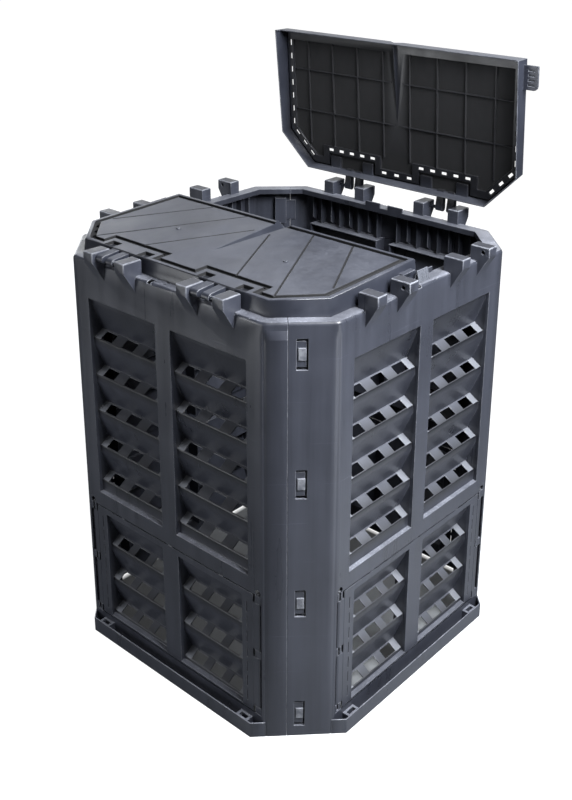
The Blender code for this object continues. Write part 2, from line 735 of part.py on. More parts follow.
def build_hatch():
    """Return the hatch's mesh in the front wall's place."""
    bottom = HATCH_OPENING_BOTTOM + HATCH_GAP
    top = HATCH_OPENING_TOP - HATCH_GAP
    plate = boxes("hatch", [(wall_point(-HATCH_HALF, 0, bottom), wall_point(HATCH_HALF, WALL, top))])
    lips = [HATCH_LIP_FIRST + HATCH_LIP_PITCH * index for index in range(HATCH_LIP_COUNT)]
    add_windows(plate, HATCH_WINDOW_INNER, HATCH_WINDOW_WIDTH, HATCH_WINDOW_TOP, HATCH_WINDOW_BOTTOM, lips)
    tabs = []
    for index in range(HATCH_TAB_COUNT):
        u = (index - (HATCH_TAB_COUNT - 1) / 2) * HATCH_TAB_PITCH
        tabs.append((wall_point(u - HATCH_TAB_WIDTH / 2, FIT_GAP, top - WELD_DEPTH),
                     wall_point(u + HATCH_TAB_WIDTH / 2, WALL - FIT_GAP, HATCH_OPENING_TOP - FIT_GAP)))
    join(plate, boxes("top tabs", tabs))
    lugs = lug_spans()
    spans = [(low[1] + FIT_GAP, high[0] - FIT_GAP) for low, high in zip(lugs, lugs[1:])]
    webs = []
    barrels = bmesh.new()
    for side in (-1, 1):
        for low, high in spans:
            near, far = sorted((side * (HATCH_HALF - WELD_DEPTH), side * ROD_U))
            webs.append((wall_point(near, FIT_GAP, low + FIT_GAP), wall_point(far, ROD_DEPTH, high - FIT_GAP)))
            add_rod(barrels, wall_point(side * ROD_U, ROD_DEPTH, (low + high) / 2), HATCH_BARREL_RADIUS, high - low)
    join(plate, boxes("webs", webs))
    join(plate, to_object(barrels, "barrels"))
    bores = bmesh.new()
    for side in (-1, 1):
        add_rod(bores, wall_point(side * ROD_U, ROD_DEPTH, (spans[0][0] + spans[-1][1]) / 2), bore_radius(ROD_RADIUS),
                spans[-1][1] - spans[0][0] + OVERRUN)
    return cut(plate, to_object(bores, "barrel bores"))


def build_rod():
    """Return the rod's mesh, standing on the origin of its own axis."""
    shoulder = HATCH_OPENING_TOP + FIT_GAP
    bm = bmesh.new()
    add_rod(bm, (0, 0, (ROD_BOTTOM + shoulder + ROD_HEAD_HEIGHT / 2) / 2), ROD_RADIUS,
            shoulder + ROD_HEAD_HEIGHT / 2 - ROD_BOTTOM)
    rod = to_object(bm, "rod")
    bm = bmesh.new()
    add_rod(bm, (0, 0, shoulder + ROD_HEAD_HEIGHT / 2), ROD_HEAD_RADIUS, ROD_HEAD_HEIGHT)
    return join(rod, to_object(bm, "rod head"))


# Lid

def lid_outline(inset):
    """Return the lid's plan outline, drawn in by an inset."""
    low = LID_HINGE_EDGE + inset
    high = HINGE_X - LID_MIDDLE_GAP - inset
    half = LID_HALF - inset
    leg = LID_LEG - inset * (2 - math.sqrt(2))
    return [(low, leg - half), (low + leg, -half), (high, -half), (high, half), (low + leg, half), (low, half - leg)]


def lid_shell():
    """Return the lid's skirt and top as one thin shell."""
    bottom = BODY_TOP + LID_REST_GAP - HINGE_Z
    levels = [(LID_DRAFT + LID_BEVEL, LID_TOP), (LID_DRAFT, LID_TOP - LID_BEVEL), (0.0, bottom - LID_WALL)]
    bm = bmesh.new()
    inset, t = levels[0]
    verts = [bm.verts.new((s, y, t)) for s, y in lid_outline(inset)]
    face = bm.faces.new(verts)
    edges = list(face.edges)
    for inset, t in levels[1:]:
        fresh = [v for v in bmesh.ops.extrude_edge_only(bm, edges=edges)["geom"] if isinstance(v, bmesh.types.BMVert)]
        row = match_row(verts, fresh)
        edges = [bm.edges.get(pair) for pair in zip(row, row[1:] + row[:1])]
        for vert, (s, y) in zip(row, lid_outline(inset)):
            vert.co = (s, y, t)
        verts = row
    bmesh.ops.recalc_face_normals(bm, faces=bm.faces)
    top = max(bm.faces, key=lambda f: f.calc_area())
    if top.normal.z < 0:
        bmesh.ops.reverse_faces(bm, faces=bm.faces)
    shell = thicken(to_object(bm, "lid"), LID_WALL)
    cut(shell, boxes("lid foot", [((-OVERRUN, -BODY_WIDTH, bottom - OVERRUN), (BODY_WIDTH, BODY_WIDTH, bottom))]))
    high = HINGE_X - LID_MIDDLE_GAP
    relief = [((high - LID_DRAFT - LID_WALL - LID_BEVEL, -LID_HALF + LID_DRAFT + LID_BEVEL + LID_WALL, bottom - OVERRUN),
               (high + OVERRUN, LID_HALF - LID_DRAFT - LID_BEVEL - LID_WALL, LID_TOP - FREE_EDGE_DEPTH))]
    return cut(shell, boxes("free edge relief", relief))


def groove_path():
    """Return the groove's centre line: it follows the outline and steps in behind each hinge arm."""
    low = LID_HINGE_EDGE + GROOVE_INSET
    high = HINGE_X - LID_MIDDLE_GAP - GROOVE_INSET
    half = LID_HALF - GROOVE_INSET
    leg = LID_LEG - GROOVE_INSET * (2 - math.sqrt(2))
    points = [(low, leg - half)]
    points += [(low + leg, -half), (high, -half), (high, half), (low + leg, half), (low, half - leg)]
    for pair in (PAIR_CENTRE, -PAIR_CENTRE):
        top = pair + GROOVE_STEP_HALF
        end = pair - GROOVE_STEP_HALF
        points += [(low, top), (low + GROOVE_STEP, top), (low + GROOVE_STEP, end), (low, end)]
    return points


def groove_band(name, width, low, high):
    """Return a closed band that follows the groove."""
    bm = bmesh.new()
    verts = [bm.verts.new((s, y, low)) for s, y in groove_path()]
    edges = [bm.edges.new(pair) for pair in zip(verts, verts[1:] + verts[:1])]
    grown = bmesh.ops.extrude_edge_only(bm, edges=edges)["geom"]
    bmesh.ops.translate(bm, vec=(0, 0, high - low), verts=[v for v in grown if isinstance(v, bmesh.types.BMVert)])
    bmesh.ops.recalc_face_normals(bm, faces=bm.faces)
    return thicken(to_object(bm, name), width, 0.0)


def groove_slots():
    """Return the boxes that open the drain slots in the groove's floor."""
    floor = LID_TOP - GROOVE_DEPTH - LID_WALL
    path = groove_path()
    free_edge = HINGE_X - LID_MIDDLE_GAP - GROOVE_INSET
    bm = bmesh.new()
    for start, end in zip(path, path[1:] + path[:1]):
        along = Vector(end) - Vector(start)
        if start[0] == free_edge and end[0] == free_edge:
            continue
        count = int((along.length - GROOVE_WIDTH) / SLOT_PITCH)
        turn = Matrix.Rotation(math.atan2(along.y, along.x), 4, "Z")
        for index in range(count):
            share = (index + 0.5) / count
            centre = Vector((*(Vector(start) + along * share), floor + LID_WALL / 2))
            half = Vector((SLOT_LENGTH, SLOT_WIDTH, 2 * LID_WALL)) / 2
            add_box(bm, centre - half, centre + half, turn)
    return to_object(bm, "slots")


def add_groove(lid):
    """Sink the groove into the lid's top, with its channel below and its slots."""
    join(lid, groove_band("channel", GROOVE_WIDTH + 2 * LID_WALL, LID_TOP - GROOVE_DEPTH - LID_WALL,
                          LID_TOP - LID_WALL / 2))
    cut(lid, groove_band("groove", GROOVE_WIDTH, LID_TOP - GROOVE_DEPTH, LID_TOP + OVERRUN))
    cut(lid, groove_slots())


def valley_cone(name, grow):
    """Return the shallow cone that shapes the valley, or the ridge under it."""
    length = VALLEY_LENGTH + 2 * grow
    high = HINGE_X - LID_MIDDLE_GAP
    bm = bmesh.new()
    add_rod(bm, (0, 0, 0), 0.0, length, "X", VALLEY_SIDES, tip=VALLEY_HALF + grow)
    squash = Matrix.Diagonal((1.0, 1.0, (VALLEY_DEPTH + grow) / (VALLEY_HALF + grow), 1.0))
    place = Matrix.Translation((high - length / 2, 0, LID_TOP))
    bmesh.ops.transform(bm, matrix=place @ squash, verts=bm.verts)
    return to_object(bm, name)


def add_valley(lid):
    """Add the tapering valley that runs in from the middle of the free edge."""
    ridge = valley_cone("ridge", LID_WALL)
    cap = [((-OVERRUN, -LID_HALF, LID_TOP - LID_WALL / 2), (BODY_WIDTH, LID_HALF, LID_TOP + BODY_WIDTH))]
    cut(ridge, boxes("ridge cap", cap))
    inside = HINGE_X - LID_MIDDLE_GAP - LID_DRAFT - LID_WALL / 2
    end = [((inside, -LID_HALF, -BODY_WIDTH), (BODY_WIDTH, LID_HALF, BODY_WIDTH))]
    cut(ridge, boxes("ridge end", end))
    join(lid, ridge)
    valley = valley_cone("valley", 0.0)
    cut(lid, valley)


def add_lid_ribs(lid):
    """Add the low stiffening ribs under the lid's panel."""
    inset = GROOVE_INSET + (GROOVE_WIDTH + LID_WALL) / 2
    near = LID_HINGE_EDGE + GROOVE_STEP + inset
    far = HINGE_X - LID_MIDDLE_GAP - inset
    low = LID_TOP - LID_WALL - LID_RIB_DEPTH
    high = LID_TOP - LID_WALL / 2
    long_ribs = []
    for index in range(LID_RIB_PAIRS):
        for side in (-1, 1):
            y = side * (index + 0.5) * LID_RIB_PITCH
            long_ribs.append(((near, y - LID_RIB_WALL / 2, low), (far, y + LID_RIB_WALL / 2, high)))
    join(lid, boxes("long ribs", long_ribs))


def add_pockets(lid):
    """Sink the square pockets on both sides of each hinge arm."""
    low = LID_HINGE_EDGE + LID_DRAFT + LID_WALL
    shift = ARM_OFFSET + ARM_WIDTH / 2 + POCKET_SIZE / 2 + POCKET_WALL
    shells = []
    hollows = []
    for pair in (-PAIR_CENTRE, PAIR_CENTRE):
        for side in (-1, 1):
            y = pair + side * shift
            half = POCKET_SIZE / 2
            floor = LID_TOP - POCKET_DEPTH
            shells.append(((low - POCKET_WALL, y - half, floor - POCKET_WALL),
                           (low + POCKET_SIZE - 2 * POCKET_WALL, y + half, LID_TOP - LID_WALL / 2)))
            hollows.append(((low, y - half + POCKET_WALL, floor),
                            (low + POCKET_SIZE - 4 * POCKET_WALL, y + half - POCKET_WALL, LID_TOP + OVERRUN)))
    join(lid, boxes("pocket shells", shells))
    cut(lid, boxes("pockets", hollows))


def arm_outline():
    """Return the hinge arm's section: a flat arm that ends in a round knuckle."""
    root = LID_HINGE_EDGE + LID_DRAFT + LID_BEVEL + LID_WALL
    points = [(root, LID_TOP - FIT_GAP), (LID_HINGE_EDGE, LID_TOP - LID_BEVEL)]
    for step in range(KNUCKLE_STEPS + 1):
        angle = math.pi / 2 + step / KNUCKLE_STEPS * math.pi
        points.append((KNUCKLE_RADIUS * math.cos(angle), KNUCKLE_RADIUS * math.sin(angle)))
    points += [(LID_HINGE_EDGE, LID_TOP - LID_BEVEL - ARM_WALL), (root, LID_TOP - LID_BEVEL - ARM_WALL)]
    return points


def add_arms(lid):
    """Add the two hinge arms, each split into two fingers, and their outward pegs."""
    spans = []
    pegs = bmesh.new()
    for pair in (-PAIR_CENTRE, PAIR_CENTRE):
        middle = pair + ARM_OFFSET
        for side in (-1, 1):
            near, far = sorted((middle + side * FINGER_GAP / 2, middle + side * ARM_WIDTH / 2))
            spans.append((near, far))
            tip = pair + side * (PAIR_CLEAR / 2 + PEG_ENTRY)
            root = middle + side * (ARM_WIDTH / 2 - WELD_DEPTH)
            add_rod(pegs, (0, (tip + root) / 2, 0), PEG_RADIUS, abs(tip - root), "Y")
    join(lid, prisms("fingers", arm_outline(), spans, arm_place))
    join(lid, to_object(pegs, "pegs"))


def grip_outline(root):
    """Return the grip's plan: square to the lid, with its outer hinge-side corner rounded."""
    outer = LID_HALF + GRIP_REACH
    points = [(GRIP_FROM + GRIP_LENGTH, root), (GRIP_FROM + GRIP_LENGTH, outer)]
    for step in range(GRIP_ROUND_STEPS + 1):
        angle = math.pi / 2 * (1 + step / GRIP_ROUND_STEPS)
        points.append((GRIP_FROM + GRIP_ROUND + GRIP_ROUND * math.cos(angle),
                       outer - GRIP_ROUND + GRIP_ROUND * math.sin(angle)))
    points.append((GRIP_FROM, root))
    return points


def add_grip(lid):
    """Add the ribbed grip at one end of the free edge, and the short stop at the other."""
    root = LID_HALF - LID_DRAFT
    grip = prisms("grip", grip_outline(root), [(GRIP_TOP - GRIP_WALL, GRIP_TOP)], lid_place)
    slots = []
    for index in range(GRIP_SLOTS):
        s = GRIP_FROM + GRIP_LENGTH * (index + 1) / (GRIP_SLOTS + 1)
        middle = LID_HALF + GRIP_REACH / 2
        slots.append(((s - GRIP_SLOT_WIDTH / 2, middle - GRIP_SLOT_LENGTH / 2, GRIP_TOP - GRIP_WALL - OVERRUN),
                      (s + GRIP_SLOT_WIDTH / 2, middle + GRIP_SLOT_LENGTH / 2,
                       GRIP_TOP - GRIP_WALL + GRIP_SLOT_DEPTH)))
    cut(grip, boxes("grip slots", slots))
    join(lid, grip)
    stop = [((STOP_FROM, -LID_HALF - STOP_REACH, GRIP_TOP - GRIP_WALL), (STOP_FROM + STOP_LENGTH, -root, GRIP_TOP))]
    join(lid, boxes("stop", stop))


def raise_free_edge(lid):
    """Let the lid's top climb from the hinge edge to the free edge, so that rain runs off; the skirt's foot stays level."""
    slope = LID_RISE / (HINGE_X - LID_MIDDLE_GAP - LID_HINGE_EDGE)
    bm = bmesh.new()
    bm.from_mesh(lid.data)
    bmesh.ops.triangulate(bm, faces=bm.faces)
    for vert in bm.verts:
        if vert.co.z > LID_RISE_LEVEL:
            vert.co.z += slope * max(vert.co.x - LID_HINGE_EDGE, 0.0)
    bm.to_mesh(lid.data)
    bm.free()


def build_lid():
    """Return the lid's mesh, with its hinge axis along y through the origin."""
    lid = lid_shell()
    add_groove(lid)
    add_lid_ribs(lid)
    add_pockets(lid)
    add_valley(lid)
    add_arms(lid)
    add_grip(lid)
    raise_free_edge(lid)
    return lid


# Assembly

def place(name, source, material, matrix):
    """Add a named copy of a finished solid."""
    item = bpy.data.objects.new(name, source.data.copy())
    item.data.name = name
    item.data.materials.clear()
    item.data.materials.append(material)
    item.data.shade_smooth()
    item.data.set_sharp_from_angle(angle=math.radians(30))
    item.matrix_world = matrix
    PARTS.objects.link(item)
    return item


def rod_axis(side):
    """Return the place of a hatch rod's axis on the front wall."""
    return Matrix.Translation(wall_point(side * ROD_U, ROD_DEPTH, 0))


def assemble():
    """Model each moulding once, then place every piece."""
    wall_plastic = make_plastic("wall plastic", (0.055, 0.057, 0.062), 0.50)
    hatch_plastic = make_plastic("hatch plastic", (0.058, 0.060, 0.065), 0.50)
    rod_plastic = make_plastic("rod plastic", (0.070, 0.072, 0.076), 0.40)
    lid_plastic = make_plastic("lid plastic", (0.060, 0.062, 0.072), 0.45)
    catch_plastic = make_plastic("catch plastic", (0.075, 0.077, 0.082), 0.40)
    panel = build_panel()
    hatch = build_hatch()
    rod = build_rod()
    lid = build_lid()
    catch = build_catch()
    hinge = rod_axis(1)
    hatch.data.transform(hinge.inverted())
    for name, turns in TURNS.items():
        turn = Matrix.Rotation(turns * math.pi / 2, 4, "Z")
        place(f"wall_panel_{name}", panel, wall_plastic, turn)
        place(f"hatch_{name}", hatch, hatch_plastic, turn @ hinge)
        place(f"hinge_rod_{name}", rod, rod_plastic, turn @ hinge)
        place(f"latch_rod_{name}", rod, rod_plastic, turn @ rod_axis(-1))
    place("lid_left", lid, lid_plastic, Matrix.Translation((-HINGE_X, 0, HINGE_Z)))
    opened = Matrix.Rotation(math.radians(LID_OPEN_DEG), 4, "Y") @ Matrix.Rotation(math.pi, 4, "Z")
    place("lid_right", lid, lid_plastic, Matrix.Translation((HINGE_X, 0, HINGE_Z)) @ opened)
    for name in ("front", "back"):
        place(f"lid_catch_{name}", catch, catch_plastic, Matrix.Rotation(TURNS[name] * math.pi / 2, 4, "Z"))
    for tool in (panel, hatch, rod, lid, catch):
        bpy.data.objects.remove(tool, do_unlink=True)


clear_scene()
PARTS = make_collection("garden compost bin")
TOOLS = make_collection("tools")
assemble()
print("objects", len(PARTS.objects), "faces", sum(len(item.data.polygons) for item in PARTS.objects))
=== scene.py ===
"""Garden compost bin of dark recycled plastic: clipped louvred walls, hatches on rods, split lid."""
import math

import bmesh
import bpy
from mathutils import Matrix, Vector


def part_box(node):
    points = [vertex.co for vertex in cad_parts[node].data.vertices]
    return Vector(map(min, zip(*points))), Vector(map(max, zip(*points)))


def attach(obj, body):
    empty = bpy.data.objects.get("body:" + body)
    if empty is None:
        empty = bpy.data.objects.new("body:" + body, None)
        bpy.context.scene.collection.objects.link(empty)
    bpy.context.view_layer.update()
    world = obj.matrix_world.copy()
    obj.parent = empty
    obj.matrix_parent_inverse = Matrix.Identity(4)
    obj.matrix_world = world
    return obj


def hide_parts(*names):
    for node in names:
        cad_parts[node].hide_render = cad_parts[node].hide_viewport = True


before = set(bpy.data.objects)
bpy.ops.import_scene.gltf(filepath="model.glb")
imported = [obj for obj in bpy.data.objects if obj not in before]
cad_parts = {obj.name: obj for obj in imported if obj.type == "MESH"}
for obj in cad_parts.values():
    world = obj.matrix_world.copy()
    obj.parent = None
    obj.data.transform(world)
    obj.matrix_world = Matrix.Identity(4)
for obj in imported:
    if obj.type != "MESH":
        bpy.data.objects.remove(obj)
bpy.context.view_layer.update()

bl_info = {
    "name": "Garden Compost Bin",
    "version": (1, 0, 0),
    "blender": (4, 5, 0),
    "location": "3D View > Sidebar > Compost Bin",
    "description": "Dresses the modelled compost bin: mouldings, finishes, studio and camera",
    "category": "Object",
}

# Sizes in metres, of the front wall and of the closed left lid

SIDES = {"front": 0, "right": 1, "back": 2, "left": 3}
HALF = 0.400
BODY_TOP = 0.992
CHAMFER_SUM = 0.695
SEAM_LONG_SIDE = 0.1005
SEAM_SHORT_SIDE = 0.0477
WALL = 0.003
BLOCKS = (0.096, 0.201)
BLOCK_REACH = 0.0165
BLOCK_RISE = 0.0345
SOCKET_REACH = 0.0062
RIM_RIB_PITCH = 0.064
CLIP_HEIGHTS = (0.060, 0.348, 0.636, 0.924)
CLIP_MIDDLE = 0.028
CLIP_HALF_HEIGHT = 0.036
WALL_LOUVRES = {"inner": 0.0235, "outer": 0.2475, "first_lip": 0.430, "pitch": 0.0925, "rows": 5}
HATCH_LOUVRES = {"inner": 0.026, "outer": 0.228, "first_lip": 0.065, "pitch": 0.0965, "rows": 3}
HATCH_SLITS = {"u": 0.2425, "first": 0.070, "pitch": 0.039, "length": 0.029, "count": 7}
LID_HINGE = Vector((0.413, 0.0, 1.0135))
LID_OPEN = math.radians(84.0)
LID_EDGE = 0.037
LID_FACE = 0.0135
LID_SLOPE = 0.0125 / 0.3695
LID_WALL = 0.003
LID_GROOVE_DEPTH = 0.006
LID_LINES = (((0.167, 0.340), (0.378, 0.219)), ((0.065, 0.2765), (0.380, 0.104)), ((0.096, 0.142), (0.320, 0.024)))
LID_BOSS = (0.217, 0.167)
LID_VALLEY = (0.142, 0.022)
LID_CROSS_RIBS = (0.190, 0.300)
ROD = {"u": 0.2755, "depth": 0.006, "bottom": 0.0515, "shoulder": 0.3613, "radius": 0.0030, "sides": 20}
ROD_HEAD_RINGS = ((1.40, 0.0), (1.0, 0.0032), (0.80, 0.0009), (0.45, 0.0004))
CATCH = {"from": -0.021, "length": 0.038, "depth": 0.019, "foot": 0.9923, "ridge": 1.018, "leg": 0.983,
         "half_width": 0.007, "sheet": 0.0017, "ribs": 6}

# The studio and the colours

SENSOR = 36.0
PICTURE_SHIFT = (-0.0360, -0.1755)
LIGHTS = {
    "front light": {"place": (-0.12, -1.60, 2.4), "target": (0.0, -0.1, 0.60), "size": 1.25, "power": "key_power"},
    "top light": {"place": (0.5, -1.0, 3.6), "target": (0.0, 0.0, 0.8), "size": 2.8, "power": "top_power"},
    "back light": {"place": (3.1, 1.5, 2.3), "target": (0.0, 0.0, 1.0), "size": 3.2, "power": "back_power"},
    "side light": {"place": (-2.7, 1.3, 0.6), "target": (-0.4, 0.0, 0.3), "size": 1.4, "power": "side_power"},
    "far light": {"place": (1.0, 3.3, 1.1), "target": (0.0, 0.0, 0.5), "size": 2.0, "power": "far_power"},
    "low light": {"place": (-0.25, -1.9, 0.12), "target": (-0.25, -0.4, 0.50), "size": 0.7, "power": "low_power"},
}
LIGHT_COLOUR = (0.94, 0.965, 1.0)
FLOOR_GREY = (0.115, 0.120, 0.125, 1.0)
# The floor's colour in its painted pool of light in front of the bin.
FLOOR_LIT = (0.42, 0.435, 0.45, 1.0)
FLOOR_LIT_Y = -1.2
FLOOR_LIT_REACH = (0.35, 1.25)
# Pale colour of the rounded outward edges: partly rubbed wear, partly painted highlight.
RUBBED_AND_HIGHLIT = Vector((0.17, 0.175, 0.19))
# Pale colour on upward faces: partly dust, partly painted light from above.
DUST_AND_TOP_LIGHT = (0.225, 0.233, 0.268, 1.0)
# Near-black painted shade in grooves, recesses, under lips, inside the lid and on the block tops.
PAINTED_SHADE_COLOUR = (0.003, 0.003, 0.004, 1.0)
# Colour of the painted glint on the louvre tabs.
TAB_GLINT = (0.135, 0.141, 0.158, 1.0)
BLACK = (0.0, 0.0, 0.0, 1.0)


class BinStage(bpy.types.PropertyGroup):
    """The studio round the bin."""
    camera_place: bpy.props.FloatVectorProperty(
        name="Camera place", description="Where the camera stands", default=(-1.7733, -1.6047, 1.7878),
        subtype="TRANSLATION", unit="LENGTH")
    camera_azimuth: bpy.props.FloatProperty(
        name="Camera azimuth", description="Direction the camera looks from", default=math.radians(-49.3),
        subtype="ANGLE")
    camera_elevation: bpy.props.FloatProperty(
        name="Camera elevation", description="How steeply the camera looks down", default=math.radians(19.363),
        subtype="ANGLE")
    camera_roll: bpy.props.FloatProperty(
        name="Camera roll", description="Tilt of the picture", default=math.radians(0.715), subtype="ANGLE")
    lens: bpy.props.FloatProperty(
        name="Lens", description="Focal length for a 36 mm frame", default=48.357, min=10.0)
    key_power: bpy.props.FloatProperty(
        name="Front light", description="Power of the large light in front", default=200.0, min=0.0, unit="POWER")
    top_power: bpy.props.FloatProperty(
        name="Top light", description="Power of the overhead light", default=8.0, min=0.0, unit="POWER")
    back_power: bpy.props.FloatProperty(
        name="Back light", description="Power of the light that glances along the lid", default=34.0, min=0.0,
        unit="POWER")
    far_power: bpy.props.FloatProperty(
        name="Far light", description="Power of the light behind the bin", default=60.0, min=0.0, unit="POWER")
    low_power: bpy.props.FloatProperty(
        name="Low light", description="Power of the strip close to the floor, seen in the front corner's fold",
        default=6.0, min=0.0, unit="POWER")
    side_power: bpy.props.FloatProperty(
        name="Side light", description="Power of the weak light on the left wall", default=38.0, min=0.0, unit="POWER")
    surround: bpy.props.FloatProperty(
        name="Surround", description="Brightness of the studio's grey walls", default=0.155, min=0.0)
    floor_glow: bpy.props.FloatProperty(
        name="Floor whiteness", description="How much the camera sees the floor as lit paper", default=1.0, min=0.0)


class BinFinish(bpy.types.PropertyGroup):
    """Colours and gloss of the mouldings."""
    wall_colour: bpy.props.FloatVectorProperty(
        name="Wall plastic", description="Colour of the four wall panels", default=(0.0315, 0.0341, 0.0450),
        subtype="COLOR", min=0.0, max=1.0)
    hatch_colour: bpy.props.FloatVectorProperty(
        name="Hatch plastic", description="Colour of the emptying hatches", default=(0.0315, 0.0341, 0.0450),
        subtype="COLOR", min=0.0, max=1.0)
    rod_colour: bpy.props.FloatVectorProperty(
        name="Rod plastic", description="Colour of the hatch rods", default=(0.052, 0.054, 0.060),
        subtype="COLOR", min=0.0, max=1.0)
    lid_colour: bpy.props.FloatVectorProperty(
        name="Lid plastic", description="Colour of the two lid halves", default=(0.0180, 0.0200, 0.0280),
        subtype="COLOR", min=0.0, max=1.0)
    catch_colour: bpy.props.FloatVectorProperty(
        name="Catch plastic", description="Colour of the lid catches", default=(0.085, 0.090, 0.105),
        subtype="COLOR", min=0.0, max=1.0)
    roughness: bpy.props.FloatProperty(
        name="Roughness", description="How matt the plastic is", default=0.34, min=0.05, max=1.0)
    flow: bpy.props.FloatProperty(
        name="Flow marks", description="Strength of the streaks left by the melt", default=0.60, min=0.0, max=1.0)
    # The pale edges are partly rubbed wear and partly painted highlight.
    wear: bpy.props.FloatProperty(
        name="Edge wear", description="How pale the rubbed edges are", default=0.95, min=0.0, max=1.0)
    weld: bpy.props.FloatProperty(
        name="Weld lines", description="Strength of the fine lines where two fronts of melt met", default=0.40,
        min=0.0, max=1.0)
    # The pale dust on level faces is partly painted light from above.
    dust: bpy.props.FloatProperty(
        name="Dust", description="How much pale dust lies on the level faces", default=0.55, min=0.0, max=1.0)


class BinDetail(bpy.types.PropertyGroup):
    """Sizes of the small moulded detail."""
    edge: bpy.props.FloatProperty(
        name="Edge rounding", description="Radius of the moulded edges", default=0.0009, unit="LENGTH")
    block_edge: bpy.props.FloatProperty(
        name="Hinge block rounding", description="Radius of the hinge blocks' edges", default=0.0030, unit="LENGTH")
    line_width: bpy.props.FloatProperty(
        name="Lid line width", description="Width of the slanted lines on the lid", default=0.0036, unit="LENGTH")
    line_depth: bpy.props.FloatProperty(
        name="Lid line depth", description="Depth of the slanted lines on the lid", default=0.0022, unit="LENGTH")
    rib_width: bpy.props.FloatProperty(
        name="Rim rib width", description="Width of the fine ribs inside the rim", default=0.0020, unit="LENGTH")
    slit_width: bpy.props.FloatProperty(
        name="Hatch slit width", description="Width of the slits beside the hatch windows", default=0.0020,
        unit="LENGTH")


# Working in the 3D view

def deselect():
    """Leave edit mode and drop the selection."""
    if bpy.context.object and bpy.context.object.mode != "OBJECT":
        bpy.ops.object.mode_set(mode="OBJECT")
    bpy.ops.object.select_all(action="DESELECT")


def pick(item):
    """Make one object the only selected and active one."""
    deselect()
    item.hide_set(False)
    item.select_set(True)
    bpy.context.view_layer.objects.active = item
    return item


def apply_all(item):
    """Apply every modifier on an object, in order."""
    pick(item)
    for step in list(item.modifiers):
        bpy.ops.object.modifier_apply(modifier=step.name)
    return item


def copy_moulding(node, name):
    """Copy a modelled node's mesh as a new object, with its loose triangles merged into clean faces."""
    item = bpy.data.objects.new(name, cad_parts[node].data.copy())
    item.data.name = name
    bpy.context.scene.collection.objects.link(item)
    item.data.materials.clear()
    pick(item)
    bpy.ops.object.mode_set(mode="EDIT")
    bpy.ops.mesh.select_all(action="SELECT")
    bpy.ops.mesh.customdata_custom_splitnormals_clear()
    bpy.ops.mesh.remove_doubles(threshold=0.00002)
    bpy.ops.mesh.tris_convert_to_quads(face_threshold=math.radians(0.5), shape_threshold=math.radians(60))
    return leave(item)


def choose(item, kind, test):
    """Open an object in edit mode with only the parts selected that pass a test."""
    pick(item)
    bpy.ops.object.mode_set(mode="EDIT")
    bpy.ops.mesh.select_mode(type=kind)
    bpy.ops.mesh.select_all(action="DESELECT")
    bm = bmesh.from_edit_mesh(item.data)
    parts = {"VERT": bm.verts, "EDGE": bm.edges, "FACE": bm.faces}[kind]
    for part in parts:
        if test(part):
            part.select_set(True)
    bm.select_flush_mode()
    bmesh.update_edit_mesh(item.data)


def leave(item):
    """Go back to object mode."""
    bpy.ops.object.mode_set(mode="OBJECT")
    return item


def settle(item):
    """Apply a piece's place, turn and size to its mesh."""
    pick(item)
    bpy.ops.object.transform_apply(location=True, rotation=True, scale=True)
    return item


def block(name, low, high):
    """Add a cube at its size and place."""
    deselect()
    low, high = Vector(low), Vector(high)
    bpy.ops.mesh.primitive_cube_add(size=1.0, location=(low + high) / 2)
    item = bpy.context.object
    item.name = item.data.name = name
    item.scale = high - low
    return settle(item)


def weld_on(item, *others):
    """Join finished shapes into one piece."""
    pick(item)
    for other in others:
        other.select_set(True)
    bpy.ops.object.join()
    return item


def cut_out(item, cutter):
    """Cut one shape out of another and drop the cutter."""
    step = item.modifiers.new("cut", "BOOLEAN")
    step.operation = "DIFFERENCE"
    step.solver = "EXACT"
    step.object = cutter
    apply_all(item)
    pick(cutter)
    bpy.ops.object.delete()
    pick(item)
    bpy.ops.object.mode_set(mode="EDIT")
    bpy.ops.mesh.select_all(action="SELECT")
    bpy.ops.mesh.quads_convert_to_tris()
    bpy.ops.mesh.tris_convert_to_quads(face_threshold=math.radians(0.5), shape_threshold=math.radians(60))
    return leave(item)


def round_edges(item, width, angle=50.0, segments=2, rule=lambda vert, worn: worn):
    """Round an object's sharp edges, shade it, and mark the outward edges for wear and painted highlight."""
    step = item.modifiers.new("rounded edges", "BEVEL")
    step.width = width
    step.segments = segments
    step.limit_method = "ANGLE"
    step.angle_limit = math.radians(angle)
    step.use_clamp_overlap = False
    step.harden_normals = False
    step.material = 1
    shade = item.modifiers.new("flat faces stay flat", "WEIGHTED_NORMAL")
    shade.keep_sharp = True
    shade.weight = 60
    item.data.materials.clear()
    item.data.materials.append(None)
    item.data.materials.append(None)
    pick(item)
    bpy.ops.object.shade_smooth_by_angle(angle=math.radians(angle))
    apply_all(item)
    mark_wear_and_painted_light(item, rule)
    return item


def bend(vert):
    """Return how sharply the surface bends outwards at a corner point."""
    return sum(edge.calc_face_angle_signed(0.0) for edge in vert.link_edges)


def mark_wear_and_painted_light(item, rule):
    """Write the attribute that is 1 along each rounded outward edge, pale from wear and painted highlight; a rule may
    change it from place to place, below 0 for painted shade.
    """
    bm = bmesh.new()
    bm.from_mesh(item.data)
    worn = [rule(vert, float(bend(vert) > 0.0 and all(face.material_index == 1 for face in vert.link_faces)))
            for vert in bm.verts]
    bm.free()
    mark = item.data.attributes.new("worn", "FLOAT", "POINT")
    mark.data.foreach_set("value", worn)
    item.data.polygons.foreach_set("material_index", [0] * len(item.data.polygons))


def pull_in(item, node):
    """Draw corner points that the rounding threw outside the modelled node's box back between their neighbours."""
    low, high = [Vector(corner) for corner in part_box(node)]
    spare = 0.0002
    choose(item, "VERT", lambda vert: min(*(vert.co - low), *(high - vert.co)) < -spare)
    bpy.ops.mesh.vertices_smooth(factor=1.0, repeat=3)
    return leave(item)


